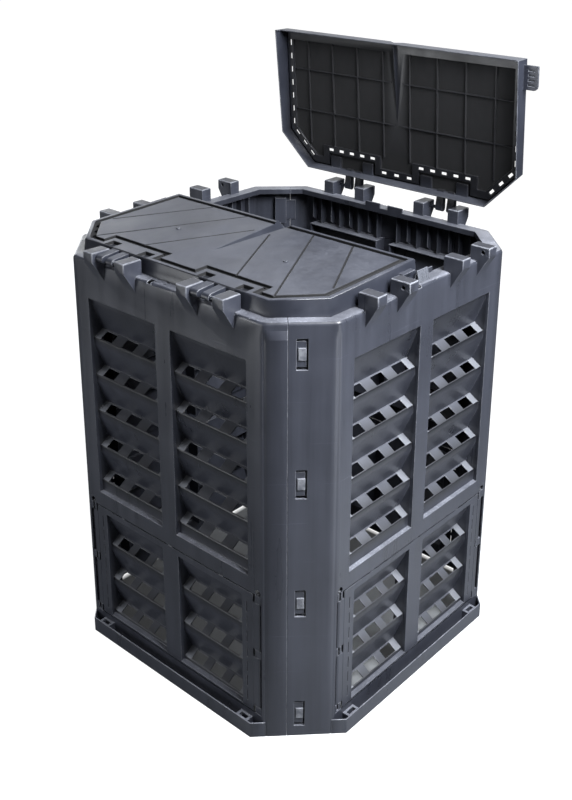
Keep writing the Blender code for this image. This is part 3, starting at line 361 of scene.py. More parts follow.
def turned_copy(item, name, matrix):
    """Copy a finished piece with its own mesh, and apply its new place."""
    fresh = item.copy()
    fresh.data = item.data.copy()
    fresh.name = fresh.data.name = name
    bpy.context.scene.collection.objects.link(fresh)
    fresh.matrix_world = matrix
    return settle(fresh)


# Finishes

def wire(tree, value, socket):
    """Feed a socket from another socket, or set its value."""
    if isinstance(value, bpy.types.NodeSocket):
        tree.links.new(value, socket)
    else:
        socket.default_value = value


def maths(tree, operation, *values, clamp=False):
    """Add a sum and return what it puts out."""
    step = tree.nodes.new("ShaderNodeMath")
    step.operation = operation
    step.use_clamp = clamp
    for value, socket in zip(values, step.inputs):
        wire(tree, value, socket)
    return step.outputs[0]


def remap(tree, value, low, high, start=0.0, end=1.0):
    """Stretch a value from one range to another, and hold it there."""
    step = tree.nodes.new("ShaderNodeMapRange")
    for entry, socket in zip((value, low, high, start, end), step.inputs):
        wire(tree, entry, socket)
    return step.outputs[0]


def blend(tree, share, first, second):
    """Mix two colours."""
    step = tree.nodes.new("ShaderNodeMix")
    step.data_type = "RGBA"
    wire(tree, share, step.inputs[0])
    wire(tree, first, step.inputs[6])
    wire(tree, second, step.inputs[7])
    return step.outputs[2]


def apart(tree, value):
    """Return the three numbers of a place or a direction."""
    step = tree.nodes.new("ShaderNodeSeparateXYZ")
    tree.links.new(value, step.inputs[0])
    return step.outputs


def facing(tree):
    """Return the direction that the surface faces, as three numbers."""
    return apart(tree, tree.nodes.new("ShaderNodeNewGeometry").outputs["Normal"])


def distance(tree, a, b):
    """Return the length of a step of two sides."""
    return maths(tree, "SQRT", maths(tree, "ADD", maths(tree, "MULTIPLY", a, a), maths(tree, "MULTIPLY", b, b)))


def noise(tree, place, scale, detail, roughness=0.5):
    """Add a noise and return its value."""
    step = tree.nodes.new("ShaderNodeTexNoise")
    wire(tree, place, step.inputs["Vector"])
    wire(tree, scale, step.inputs["Scale"])
    step.inputs["Detail"].default_value = detail
    step.inputs["Roughness"].default_value = roughness
    return step.outputs["Fac"]


def object_place(tree, stretch=None):
    """Return the piece's own coordinates, stretched if asked."""
    place = tree.nodes.new("ShaderNodeTexCoord").outputs["Object"]
    if stretch is None:
        return place
    step = tree.nodes.new("ShaderNodeMapping")
    tree.links.new(place, step.inputs["Vector"])
    wire(tree, stretch, step.inputs["Scale"])
    return step.outputs["Vector"]


def effect(name, given, results):
    """Start a node group with named inputs and outputs, and return it with its two ends."""
    tree = bpy.data.node_groups.new(name, "ShaderNodeTree")
    for label, kind, default in given:
        socket = tree.interface.new_socket(label, in_out="INPUT", socket_type=kind)
        socket.default_value = default
    for label in results:
        tree.interface.new_socket(label, in_out="OUTPUT", socket_type="NodeSocketFloat")
    return tree, tree.nodes.new("NodeGroupInput").outputs, tree.nodes.new("NodeGroupOutput").inputs


def flow_marks():
    """Streaks and clouds that the melt leaves as it fills the mould."""
    tree, given, result = effect("flow marks", [("Stretch", "NodeSocketVector", (38.0, 38.0, 1.6)),
                                                ("Cloud Scale", "NodeSocketFloat", 6.0)], ["Mask"])
    streaks = noise(tree, object_place(tree, given["Stretch"]), 1.0, 3.0, 0.6)
    clouds = noise(tree, object_place(tree), given["Cloud Scale"], 4.0, 0.6)
    both = maths(tree, "ADD", maths(tree, "MULTIPLY", streaks, 0.55), maths(tree, "MULTIPLY", clouds, 0.45))
    tree.links.new(remap(tree, both, 0.38, 0.62), result["Mask"])
    return tree


def moulded_grain():
    """The fine grain of the mould's steel."""
    tree, given, result = effect("moulded grain", [("Scale", "NodeSocketFloat", 900.0)], ["Height"])
    fine = noise(tree, object_place(tree), given["Scale"], 2.0, 0.5)
    coarse = noise(tree, object_place(tree), maths(tree, "MULTIPLY", given["Scale"], 0.22), 2.0, 0.5)
    tree.links.new(maths(tree, "ADD", maths(tree, "MULTIPLY", fine, 0.7), maths(tree, "MULTIPLY", coarse, 0.3)),
                   result["Height"])
    return tree


def rubbed_edges_and_painted_light():
    """Pale, broken lines along the rounded outward edges, partly wear and partly painted highlight, and painted shade
    in grooves and recesses.
    """
    tree, given, result = effect("rubbed edges", [("Breakup Scale", "NodeSocketFloat", 55.0)], ["Mask", "Grime"])
    worn = tree.nodes.new("ShaderNodeAttribute")
    worn.attribute_name = "worn"
    broken = remap(tree, noise(tree, object_place(tree), given["Breakup Scale"], 3.0, 0.6), 0.36, 0.60, 0.25, 1.0)
    tree.links.new(maths(tree, "MULTIPLY", worn.outputs["Fac"], broken, clamp=True), result["Mask"])
    tree.links.new(maths(tree, "MULTIPLY", worn.outputs["Fac"], -1.0, clamp=True), result["Grime"])
    return tree


def weld_lines():
    """Fine level lines that wander, one at each row of louvres."""
    tree, given, result = effect("weld lines", [("First Height", "NodeSocketFloat", 0.452),
                                                ("Pitch", "NodeSocketFloat", WALL_LOUVRES["pitch"]),
                                                ("Width", "NodeSocketFloat", 0.0011),
                                                ("Wander", "NodeSocketFloat", 0.009)], ["Mask"])
    z = apart(tree, object_place(tree))["Z"]
    wave = maths(tree, "SUBTRACT", noise(tree, object_place(tree, (9.0, 9.0, 5.0)), 1.0, 3.0, 0.6), 0.5)
    wander = maths(tree, "MULTIPLY", wave, given["Wander"])
    height = maths(tree, "ADD", maths(tree, "SUBTRACT", z, given["First Height"]), wander)
    row = maths(tree, "ADD", maths(tree, "DIVIDE", height, given["Pitch"]), 0.5)
    turn = maths(tree, "SUBTRACT", maths(tree, "FRACT", row), 0.5)
    away = maths(tree, "ABSOLUTE", maths(tree, "MULTIPLY", turn, given["Pitch"]))
    line = maths(tree, "SUBTRACT", 1.0, maths(tree, "DIVIDE", away, given["Width"]), clamp=True)
    broken = remap(tree, noise(tree, object_place(tree, (14.0, 14.0, 11.0)), 1.0, 2.0, 0.5), 0.48, 0.66)
    tree.links.new(maths(tree, "MULTIPLY", line, broken, clamp=True), result["Mask"])
    return tree


def settled_dust_and_top_light():
    """Pale dust and specks on faces that look upwards, partly painted light from above."""
    tree, given, result = effect("settled dust", [("Speck Scale", "NodeSocketFloat", 260.0)], ["Mask"])
    level = remap(tree, facing(tree)["Z"], 0.83, 0.93)
    clouds = remap(tree, noise(tree, object_place(tree), 14.0, 5.0, 0.65), 0.35, 0.75, 0.35, 1.0)
    specks = remap(tree, noise(tree, object_place(tree), given["Speck Scale"], 2.0, 0.5), 0.56, 0.74)
    both = maths(tree, "ADD", maths(tree, "MULTIPLY", clouds, 0.6), maths(tree, "MULTIPLY", specks, 0.5))
    tree.links.new(maths(tree, "MULTIPLY", level, both, clamp=True), result["Mask"])
    return tree


def broad_folds():
    """The wide, soft bends where each wall panel folds over to the slanted corner, widest on its short flap."""
    tree, given, result = effect("broad folds", [("Reach", "NodeSocketFloat", 0.014),
                                                 ("Flap", "NodeSocketFloat", SEAM_SHORT_SIDE),
                                                 ("Flap Strength", "NodeSocketFloat", 0.4),
                                                 ("Long Side", "NodeSocketFloat", HALF),
                                                 ("Short Side", "NodeSocketFloat", CHAMFER_SUM - HALF),
                                                 ("Top", "NodeSocketFloat", 0.955)], ["Height"])
    place = apart(tree, object_place(tree))
    x, y = [maths(tree, "ABSOLUTE", place[axis]) for axis in "XY"]
    ways = [distance(tree, maths(tree, "SUBTRACT", first, given["Long Side"]),
                     maths(tree, "SUBTRACT", second, given["Short Side"])) for first, second in ((x, y), (y, x))]
    slant = maths(tree, "GREATER_THAN", maths(tree, "ADD", x, y), CHAMFER_SUM - WALL - 0.0005)
    slant = maths(tree, "MULTIPLY", slant, maths(tree, "LESS_THAN", maths(tree, "MAXIMUM", x, y), given["Long Side"]))
    even = maths(tree, "GREATER_THAN", maths(tree, "MULTIPLY", place["X"], place["Y"]), 0.0)
    odd = maths(tree, "SUBTRACT", 1.0, even)
    flap_way = maths(tree, "ADD", maths(tree, "MULTIPLY", even, ways[0]), maths(tree, "MULTIPLY", odd, ways[1]))
    flap = maths(tree, "MULTIPLY", slant, maths(tree, "LESS_THAN", flap_way, given["Flap"]))
    wider = maths(tree, "MULTIPLY", flap, maths(tree, "SUBTRACT", given["Flap"], given["Reach"]))
    reach = maths(tree, "ADD", given["Reach"], wider)
    inside = maths(tree, "MAXIMUM", maths(tree, "SUBTRACT", reach, maths(tree, "MINIMUM", *ways)), 0.0)
    drop = maths(tree, "DIVIDE", maths(tree, "MULTIPLY", inside, inside), maths(tree, "MULTIPLY", reach, 2.0))
    step = maths(tree, "MULTIPLY", maths(tree, "SUBTRACT", reach, given["Reach"]), 0.5)
    drop = maths(tree, "SUBTRACT", drop, step)
    drop = maths(tree, "MULTIPLY", drop,
                 maths(tree, "ADD", 1.0, maths(tree, "MULTIPLY", flap, given["Flap Strength"])))
    low = remap(tree, place["Z"], given["Top"], maths(tree, "ADD", given["Top"], 0.020), 1.0, 0.0)
    height = maths(tree, "MULTIPLY", drop, -math.tan(math.radians(22.5)))
    tree.links.new(maths(tree, "MULTIPLY", height, low), result["Height"])
    return tree


def painted_tab_glints():
    """Painted glints on the smooth tabs between the vents of each ledge, brightest at the ledge's ends."""
    tree, given, result = effect("vent tabs", [("Inner", "NodeSocketFloat", WALL_LOUVRES["inner"]),
                                               ("Outer", "NodeSocketFloat", WALL_LOUVRES["outer"]),
                                               ("Bottom", "NodeSocketFloat", 0.410),
                                               ("Top", "NodeSocketFloat", 0.900),
                                               ("Between", "NodeSocketFloat", 0.25)], ["Mask"])
    place = apart(tree, object_place(tree))
    up = facing(tree)["Z"]
    x, y = [maths(tree, "ABSOLUTE", place[axis]) for axis in "XY"]
    depth = maths(tree, "SUBTRACT", HALF, maths(tree, "MAXIMUM", x, y))
    along = maths(tree, "MINIMUM", x, y)
    end = maths(tree, "MINIMUM", maths(tree, "SUBTRACT", along, given["Inner"]),
                maths(tree, "SUBTRACT", given["Outer"], along))
    # Painted glint: faint on the tabs between the vents, full on the end tabs.
    mask = remap(tree, end, 0.0215, 0.0205, given["Between"], 1.0)
    for gate in (remap(tree, end, -0.0002, 0.0002),
                 remap(tree, depth, 0.0085, 0.0095), remap(tree, depth, 0.0365, 0.0355),
                 remap(tree, up, 0.70, 0.78), remap(tree, up, 0.93, 0.90),
                 maths(tree, "GREATER_THAN", place["Z"], given["Bottom"]),
                 maths(tree, "LESS_THAN", place["Z"], given["Top"])):
        mask = maths(tree, "MULTIPLY", mask, gate)
    tree.links.new(mask, result["Mask"])
    return tree


EFFECTS = {"flow marks": flow_marks, "moulded grain": moulded_grain, "rubbed edges": rubbed_edges_and_painted_light,
           "weld lines": weld_lines, "settled dust": settled_dust_and_top_light, "broad folds": broad_folds,
           "vent tabs": painted_tab_glints}


def use_effect(tree, name, **values):
    """Place one of the shared effects in a material, with its own values."""
    step = tree.nodes.new("ShaderNodeGroup")
    step.node_tree = bpy.data.node_groups.get(name) or EFFECTS[name]()
    for label, value in values.items():
        wire(tree, value, step.inputs[label.replace("_", " ").title()])
    return step.outputs[0] if len(step.outputs) == 1 else step.outputs


def plastic(name, colour, roughness, finish, stretch, grain, shares, folds=False, tabs=None):
    """Return a moulded plastic: streaks, pale edges of wear and painted highlight, weld lines and dust with painted top
    light by their shares, grain, painted shade and painted glints on the tabs.
    """
    material = bpy.data.materials.new(name)
    material.use_nodes = True
    tree = material.node_tree
    shader = tree.nodes["Principled BSDF"]
    shader.inputs["IOR"].default_value = 1.5
    base = Vector(colour)
    flow = use_effect(tree, "flow marks", stretch=stretch)
    worn, painted_shade = use_effect(tree, "rubbed edges")
    weld = use_effect(tree, "weld lines")
    dust = use_effect(tree, "settled dust")
    tone = (*(base * 0.82), 1.0)
    # The pale edges are partly painted highlight, and the dust on level faces is partly painted light from above.
    for mask, share, colour_there in ((flow, finish.flow * shares[0], (*(base * 1.45), 1.0)),
                                      (weld, finish.weld * shares[2], (*(base * 2.6), 1.0)),
                                      (worn, finish.wear * shares[1], (*(base * 0.5 + RUBBED_AND_HIGHLIT), 1.0)),
                                      (dust, finish.dust * shares[3], DUST_AND_TOP_LIGHT)):
        tone = blend(tree, maths(tree, "MULTIPLY", mask, share), tone, colour_there)
    # Painted shade in grooves, recesses, under lips, inside the lid and on the block tops.
    tone = blend(tree, painted_shade, tone, PAINTED_SHADE_COLOUR)
    # Painted glints on the louvre tabs.
    if tabs:
        tone = blend(tree, use_effect(tree, "vent tabs", **tabs), tone, TAB_GLINT)
    tree.links.new(tone, shader.inputs["Base Color"])
    rough = maths(tree, "ADD", roughness - 0.07, maths(tree, "MULTIPLY", flow, 0.14))
    rough = maths(tree, "ADD", rough, maths(tree, "MULTIPLY", dust, 0.25))
    rough = maths(tree, "ADD", rough, remap(tree, painted_shade, 0.88, 0.98, 0.0, 0.45))
    tree.links.new(rough, shader.inputs["Roughness"])
    height = maths(tree, "ADD", use_effect(tree, "moulded grain", scale=grain), maths(tree, "MULTIPLY", weld, 1.2))
    height = maths(tree, "ADD", height, maths(tree, "MULTIPLY", flow, 1.5))
    fine = relief(tree, height, 0.35, 0.00022)
    tree.links.new(fine.outputs["Normal"], shader.inputs["Normal"])
    if folds:
        tree.links.new(relief(tree, use_effect(tree, "broad folds"), 1.0, 1.0).outputs["Normal"], fine.inputs["Normal"])
    return material


def relief(tree, height, strength, depth):
    """Add a bump and return it."""
    bump = tree.nodes.new("ShaderNodeBump")
    bump.inputs["Strength"].default_value = strength
    bump.inputs["Distance"].default_value = depth
    tree.links.new(height, bump.inputs["Height"])
    return bump


def dress(item, material, slot, body, *nodes):
    """Give a piece its finish, its body and the nodes it stands for."""
    item.data.materials.clear()
    item.data.materials.append(material)
    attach(item, body)
    if nodes:
        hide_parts(*nodes)


# Operators

class COMPOSTBIN_OT_stage(bpy.types.Operator):
    """Build the floor, the lights and the camera"""
    bl_idname = "compostbin.stage"
    bl_label = "Studio and Camera"

    def execute(self, context):
        stage = context.scene.bin_stage
        deselect()
        bpy.ops.mesh.primitive_grid_add(x_subdivisions=8, y_subdivisions=8, size=60.0, location=(0, 0, 0))
        floor = context.object
        floor.name = "studio_floor"
        floor.data.materials.append(floor_finish(stage.floor_glow))
        for name, light in LIGHTS.items():
            add_light(name, light["place"], light["target"], light["size"], getattr(stage, light["power"]))
        light_surround(stage.surround)
        add_camera(stage)
        context.scene.view_settings.view_transform = "Standard"
        return {"FINISHED"}


def floor_finish(glow):
    """Return the pale floor's finish: paper white to the camera, grey to the bin, with a painted pool of light in front
    of it.
    """
    material = bpy.data.materials.new("pale floor")
    material.use_nodes = True
    tree = material.node_tree
    shader = tree.nodes["Principled BSDF"]
    shader.inputs["Roughness"].default_value = 0.9
    shader.inputs["Specular IOR Level"].default_value = 0.0
    shader.inputs["Emission Strength"].default_value = 1.0
    x, y, _ = apart(tree, object_place(tree))
    away = distance(tree, x, maths(tree, "SUBTRACT", y, FLOOR_LIT_Y))
    # A painted pool of light in the floor's colour, in front of the bin.
    near = remap(tree, away, *FLOOR_LIT_REACH, 1.0, 0.0)
    tree.links.new(blend(tree, near, FLOOR_GREY, FLOOR_LIT), shader.inputs["Base Color"])
    sides = [maths(tree, "ABSOLUTE", side) for side in (x, y)]
    corner = maths(tree, "SUBTRACT", maths(tree, "ADD", *sides), CHAMFER_SUM - HALF)
    reach = maths(tree, "MAXIMUM", maths(tree, "MAXIMUM", *sides), corner)
    camera_ray = tree.nodes.new("ShaderNodeLightPath").outputs["Is Camera Ray"]
    share = maths(tree, "MULTIPLY", camera_ray, remap(tree, reach, 0.380, 0.398, 0.02, 1.0))
    tree.links.new(blend(tree, share, BLACK, (glow, glow, glow, 1.0)), shader.inputs["Emission Color"])
    return material


def add_light(name, place, target, size, power):
    """Add a square soft light that faces a point."""
    deselect()
    bpy.ops.object.light_add(type="AREA", location=place)
    light = bpy.context.object
    light.name = name
    light.data.size = size
    light.data.energy = power
    light.data.color = LIGHT_COLOUR
    light.visible_camera = False
    aim = Vector(target) - Vector(place)
    light.rotation_euler = aim.to_track_quat("-Z", "Y").to_euler()


def light_surround(strength):
    """Make the studio's surround: white to the camera, grey to the bin."""
    world = bpy.data.worlds.new("studio surround")
    bpy.context.scene.world = world
    world.use_nodes = True
    tree = world.node_tree
    tree.nodes.clear()
    out = tree.nodes.new("ShaderNodeOutputWorld")
    background = tree.nodes.new("ShaderNodeBackground")
    path = tree.nodes.new("ShaderNodeLightPath")
    mix = tree.nodes.new("ShaderNodeMix")
    mix.data_type = "FLOAT"
    mix.inputs["A"].default_value = strength
    mix.inputs["B"].default_value = 1.0
    tree.links.new(path.outputs["Is Camera Ray"], mix.inputs["Factor"])
    tree.links.new(mix.outputs["Result"], background.inputs["Strength"])
    background.inputs["Color"].default_value = (1.0, 1.0, 1.0, 1.0)
    tree.links.new(background.outputs["Background"], out.inputs["Surface"])


def add_camera(stage):
    """Place the camera where the photographer stood."""
    deselect()
    bpy.ops.object.camera_add(location=stage.camera_place)
    camera = bpy.context.object
    camera.name = "camera"
    a, e, roll = stage.camera_azimuth, stage.camera_elevation, stage.camera_roll
    back = Vector((math.sin(a) * math.cos(e), -math.cos(a) * math.cos(e), math.sin(e)))
    right = Vector((math.cos(a), math.sin(a), 0.0))
    up = back.cross(right)
    side = math.cos(roll) * right + math.sin(roll) * up
    above = math.cos(roll) * up - math.sin(roll) * right
    camera.rotation_euler = Matrix((side, above, back)).transposed().to_euler()
    camera.data.lens = stage.lens
    camera.data.sensor_width = SENSOR
    camera.data.shift_x, camera.data.shift_y = PICTURE_SHIFT
    camera.data.dof.use_dof = False
    bpy.context.scene.camera = camera


def quarter(turns):
    """Return the turn that takes the front side to another side."""
    return Matrix.Rotation(turns * math.pi / 2, 4, "Z")


def hinge_block_edge(edge):
    """Say if an edge of the front panel is an outer edge of a hinge block, and not of its socket."""
    ends = [vert.co for vert in edge.verts]
    if min(co.z for co in ends) < BODY_TOP + 0.0120 or max(co.y for co in ends) > -HALF + 0.0205:
        return False
    if any(not BLOCKS[0] - 0.017 <= abs(co.x) <= BLOCKS[1] + 0.017 for co in ends):
        return False
    if all(math.hypot(co.y + LID_HINGE.x, co.z - LID_HINGE.z) < SOCKET_REACH for co in ends):
        return False
    return len(edge.link_faces) == 2 and edge.calc_face_angle_signed(0.0) > math.radians(50)


def rim_rib(name, width):
    """Return one fine rib for the inside of the rim, with a slanted toe."""
    rib = block(name, (-width / 2, -HALF + 0.0015, 0.900), (width / 2, -HALF + 0.019, BODY_TOP - 0.0015))
    choose(rib, "VERT", lambda vert: vert.co.z < 0.91 and vert.co.y > -HALF + 0.01)
    bpy.ops.transform.translate(value=(0.0, 0.0, 0.014))
    return leave(rib)


def clip_pocket(height):
    """Return the shallow pocket behind one clip window: a back and three sides, open towards the seam."""
    middle = SEAM_LONG_SIDE - CLIP_MIDDLE
    near, far = middle - 0.0145, middle + 0.0165
    low, high = height - CLIP_HALF_HEIGHT, height + CLIP_HALF_HEIGHT
    back = block("pocket", (near, 0.0150, low), (far, 0.0168, high))
    sides = [block("pocket", (near, 0.0026, low), (near + 0.0018, 0.0158, high)),
             block("pocket", (near, 0.0026, high - 0.0018), (far, 0.0158, high)),
             block("pocket", (near, 0.0026, low), (far, 0.0158, low + 0.0018))]
    weld_on(back, *sides)
    back.matrix_world = (Matrix.Translation((HALF - CHAMFER_SUM, -HALF, 0.0))
                         @ Matrix.Rotation(math.radians(135), 4, "Z") @ Matrix.Scale(-1.0, 4, (0.0, 1.0, 0.0)))
    settle(back)
    bpy.ops.object.mode_set(mode="EDIT")
    bpy.ops.mesh.select_all(action="SELECT")
    bpy.ops.mesh.normals_make_consistent(inside=False)
    return leave(back)


def louvre_slope_shade(place, worn, louvres):
    """Say how much painted shade a louvre's slope gets: dark under the lip above it, lighter towards its ledge."""
    depth, along = place.y + HALF, abs(place.x)
    row = (place.z - louvres["first_lip"]) / louvres["pitch"]
    beside = not louvres["inner"] - 0.0010 < along < louvres["outer"] + 0.0010
    if beside or not 0.0060 < depth < 0.0370 or not -0.35 < row < louvres["rows"] - 0.05:
        return worn
    share = row - math.floor(row)
    if share > 0.97 or share < 0.045:
        return -0.85
    return -0.45 if depth > 0.0300 and share > 0.33 else worn


def wall_wear_and_shade(vert, worn):
    """Say how pale the front panel is at a corner point, from wear and painted highlight, also on hinge blocks and
    clips; below 0 it has painted shade.
    """
    place = vert.co
    from_block = min(abs(abs(place.x) - u) for u in BLOCKS)
    if place.z > 0.960 and place.y < 0.0205 - HALF and from_block < BLOCK_REACH:
        # Narrow block edges are pale from wear and painted highlight; the block tops get painted shade.
        narrow = all(face.calc_area() < 0.00012 for face in vert.link_faces)
        on_top = place.z > BODY_TOP + BLOCK_RISE - 0.0025
        return max(worn, float(narrow and bend(vert) > 0.8)) or (-0.75 if on_top else 0.0)
    # Painted shade on the inside face near the top of the wall.
    if place.z > 0.880 and place.y > WALL - 0.0004 - HALF and abs(place.x) < 0.300 and worn == 0.0:
        return -0.35
    worn = louvre_slope_shade(place, worn, WALL_LOUVRES)
    along, depth = place.x - HALF + 0.105, place.y + HALF
    reach, inward = (along + depth) * math.sqrt(0.5), (depth - along) * math.sqrt(0.5)
    # The clip noses get the same pale mark as the rubbed edges: wear and painted highlight.
    if abs(reach - SEAM_SHORT_SIDE - 0.0283) < 0.0085 and 0.0 <= inward < 0.0015:
        return max(worn, float(any(abs(place.z - height) < 0.0135 for height in CLIP_HEIGHTS)))
    return worn


class COMPOSTBIN_OT_walls(bpy.types.Operator):
    """Build the four clipped wall panels"""
    bl_idname = "compostbin.walls"
    bl_label = "Wall Panels"

    def execute(self, context):
        finish, detail = context.scene.bin_finish, context.scene.bin_detail
        material = plastic("wall plastic", finish.wall_colour, finish.roughness, finish,
                           stretch=(38.0, 38.0, 1.6), grain=900.0, shares=(1.0, 1.0, 1.0, 2.4), folds=True,
                           tabs={"between": 0.25})
        panel = copy_moulding("wall_panel_front", "wall_moulding_front")
        choose(panel, "EDGE", hinge_block_edge)
        bpy.ops.mesh.bevel(offset=detail.block_edge, segments=3, affect="EDGES", clamp_overlap=True)
        leave(panel)
        rib = rim_rib("rim_rib", detail.rib_width)
        ribs = [turned_copy(rib, "rim_rib", Matrix.Translation((side * step * RIM_RIB_PITCH, 0, 0)))
                for side in (-1, 1) for step in (1, 2, 3, 4)]
        weld_on(panel, *ribs, *[clip_pocket(height) for height in CLIP_HEIGHTS])
        pick(rib)
        bpy.ops.object.delete()
        round_edges(panel, detail.edge, rule=wall_wear_and_shade)
        pull_in(panel, "wall_panel_front")
        for side, turns in SIDES.items():
            item = turned_copy(panel, f"wall_moulding_{side}", quarter(turns)) if turns else panel
            dress(item, material, "wall_plastic", "bin", f"wall_panel_{side}")
        return {"FINISHED"}


def hatch_slits(width):
    """Return the cutter for the broken slits beside the hatch windows."""
    cutters = []
    for side in (-1, 1):
        for index in range(HATCH_SLITS["count"]):
            u, low = side * HATCH_SLITS["u"], HATCH_SLITS["first"] + index * HATCH_SLITS["pitch"]
            cutters.append(block("slit", (u - width / 2, -HALF - 0.004, low),
                                 (u + width / 2, -HALF + 0.006, low + HATCH_SLITS["length"])))
    return weld_on(*cutters)


def hatch_wear_and_shade(vert, worn):
    """Say how rubbed the front hatch is at a corner point, and how much painted shade its slopes get."""
    return louvre_slope_shade(vert.co, worn, HATCH_LOUVRES)


class COMPOSTBIN_OT_hatches(bpy.types.Operator):
    """Build the four louvred emptying hatches"""
    bl_idname = "compostbin.hatches"
    bl_label = "Hatches"

    def execute(self, context):
        finish, detail = context.scene.bin_finish, context.scene.bin_detail
        material = plastic("hatch plastic", finish.hatch_colour, finish.roughness + 0.02, finish,
                           stretch=(34.0, 34.0, 2.2), grain=950.0, shares=(1.0, 1.0, 0.4, 1.0),
                           tabs={"inner": HATCH_LOUVRES["inner"], "outer": HATCH_LOUVRES["outer"],
                                 "bottom": 0.050, "top": 0.350})
        hatch = copy_moulding("hatch_front", "hatch_moulding_front")
        cut_out(hatch, hatch_slits(detail.slit_width))
        round_edges(hatch, detail.edge * 0.7, rule=hatch_wear_and_shade)
        for side, turns in SIDES.items():
            item = turned_copy(hatch, f"hatch_moulding_{side}", quarter(turns)) if turns else hatch
            dress(item, material, "hatch_plastic", f"hatch_{side}_door", f"hatch_{side}")
        return {"FINISHED"}


def round_rod():
    """Return one hatch rod on the front wall's hinge side: a round shank, a collar and a domed head."""
    deselect()
    length = ROD["shoulder"] - ROD["bottom"]
    centre = (ROD["u"], ROD["depth"] - HALF, (ROD["shoulder"] + ROD["bottom"]) / 2)
    bpy.ops.mesh.primitive_cylinder_add(vertices=ROD["sides"], radius=ROD["radius"], depth=length, location=centre)
    rod = settle(bpy.context.object)
    choose(rod, "FACE", lambda face: face.normal.z > 0.9)
    middle = (ROD["u"], ROD["depth"] - HALF, ROD["shoulder"])
    for grow, rise in ROD_HEAD_RINGS:
        bpy.ops.mesh.extrude_region_move(TRANSFORM_OT_translate={"value": (0.0, 0.0, rise)})
        bpy.ops.transform.resize(value=(grow, grow, 1.0), center_override=middle)
    bpy.ops.mesh.select_all(action="DESELECT")
    leave(rod)
    choose(rod, "EDGE", lambda edge: all(abs(vert.co.z - ROD["bottom"]) < 0.0001 for vert in edge.verts))
    bpy.ops.mesh.bevel(offset=0.0008, segments=2, affect="EDGES")
    leave(rod)
    return round_edges(rod, 0.0004, 40.0)


class COMPOSTBIN_OT_rods(bpy.types.Operator):
    """Build the hinge rods and latch rods of the hatches"""
    bl_idname = "compostbin.rods"
    bl_label = "Hatch Rods"

    def execute(self, context):
        finish = context.scene.bin_finish
        material = plastic("rod plastic", finish.rod_colour, finish.roughness - 0.06, finish,
                           stretch=(60.0, 60.0, 4.0), grain=1200.0, shares=(0.8, 1.0, 0.0, 1.0))
        rod = round_rod()
        rod.name = rod.data.name = "hinge_pin_front"
        other = Matrix.Translation((-2 * ROD["u"], 0.0, 0.0))
        for side, turns in SIDES.items():
            latch = turned_copy(rod, f"latch_pin_{side}", quarter(turns) @ other)
            hinge = turned_copy(rod, f"hinge_pin_{side}", quarter(turns)) if turns else rod
            dress(hinge, material, "rod_plastic", "bin", f"hinge_rod_{side}")
            dress(latch, material, "rod_plastic", f"hatch_{side}_door", f"latch_rod_{side}")
        return {"FINISHED"}


def lid_height(s):
    """Return how high the closed left lid's face is, at a distance from its hinge axis."""
    return LID_HINGE.z + LID_FACE + LID_SLOPE * (s - LID_EDGE)


def lid_line(start, end, detail):
    """Return the cutter for one slanted line on the left lid."""
    a = Vector((start[0] - LID_HINGE.x, start[1], lid_height(start[0])))
    b = Vector((end[0] - LID_HINGE.x, end[1], lid_height(end[0])))
    along = (b - a).normalized()
    across = Vector((-LID_SLOPE, 0.0, 1.0)).cross(along).normalized()
    cutter = block("line", (-0.5, -0.5, -0.5), (0.5, 0.5, 0.5))
    cutter.scale = ((b - a).length, detail.line_width, 2 * detail.line_depth)
    turn = Matrix((along, across, along.cross(across))).transposed()
    cutter.rotation_euler = turn.to_euler()
    cutter.location = (a + b) / 2
    return settle(cutter)


def lid_boss(side):
    """Return the small round boss on one half of the lid's face."""
    deselect()
    s, y = LID_BOSS
    bpy.ops.mesh.primitive_cylinder_add(vertices=24, radius=0.0052, depth=0.004,
                                        location=(s - LID_HINGE.x, side * y, lid_height(s)))
    boss = settle(bpy.context.object)
    choose(boss, "FACE", lambda face: face.normal.z > 0.9)
    bpy.ops.mesh.inset(thickness=0.0012)
    bpy.ops.transform.translate(value=(0.0, 0.0, 0.0007))
    bpy.ops.mesh.inset(thickness=0.0010)
    bpy.ops.transform.translate(value=(0.0, 0.0, -0.0005))
    return leave(boss)


def valley_side(s):
    """Return how far the valley's side is from the lid's middle line, at a distance from its hinge axis."""
    start, half_width = LID_VALLEY
    return half_width * (s - start) / (HALF - start)


def cross_rib(s, side):
    """Return one half of a rib that runs across under the left lid, and stops short of the valley."""
    top = lid_height(s) - LID_WALL + 0.0012
    low, high = sorted((side * (valley_side(s) + 0.004), side * 0.3455))
    return block("cross_rib", (s - LID_HINGE.x - 0.00125, low, top - 0.0060), (s - LID_HINGE.x + 0.00125, high, top))


def lid_wear_and_shade(vert, worn):
    """Say how rubbed the left lid is at a corner point; below 0 it has painted shade, as in its groove, lines and
    inside.
    """
    spot = Vector((vert.co.x + LID_HINGE.x, abs(vert.co.y)))
    deep = lid_height(spot.x) - vert.co.z
    # Painted shade in the groove round the lid's face.
    on_groove = 0.0002 < deep < LID_GROOVE_DEPTH + 0.0015 and LID_EDGE + 0.004 < spot.x < 0.398 and spot.y < 0.366
    if on_groove and (spot.x < LID_VALLEY[0] or spot.y > valley_side(spot.x) - 0.001):
        return -1.0
    # Painted shade in the slanted lines, whose rounded edges stay only faintly pale.
    if vert.co.z > lid_height(spot.x) - 0.003:
        for a, b in LID_LINES:
            along = Vector(b) - Vector(a)
            share = min(1.0, max(0.0, (spot - Vector(a)).dot(along) / along.length_squared))
            if (Vector(a) + share * along - spot).length < 0.004:
                return -1.0 if deep > 0.0015 else worn * 0.15
    # Painted shade on the inside of the lid.
    if deep > LID_WALL - 0.0006 and LID_EDGE + 0.008 < spot.x < 0.396 and spot.y < 0.360:
        return min(worn, 0.30) - 0.85
    return worn


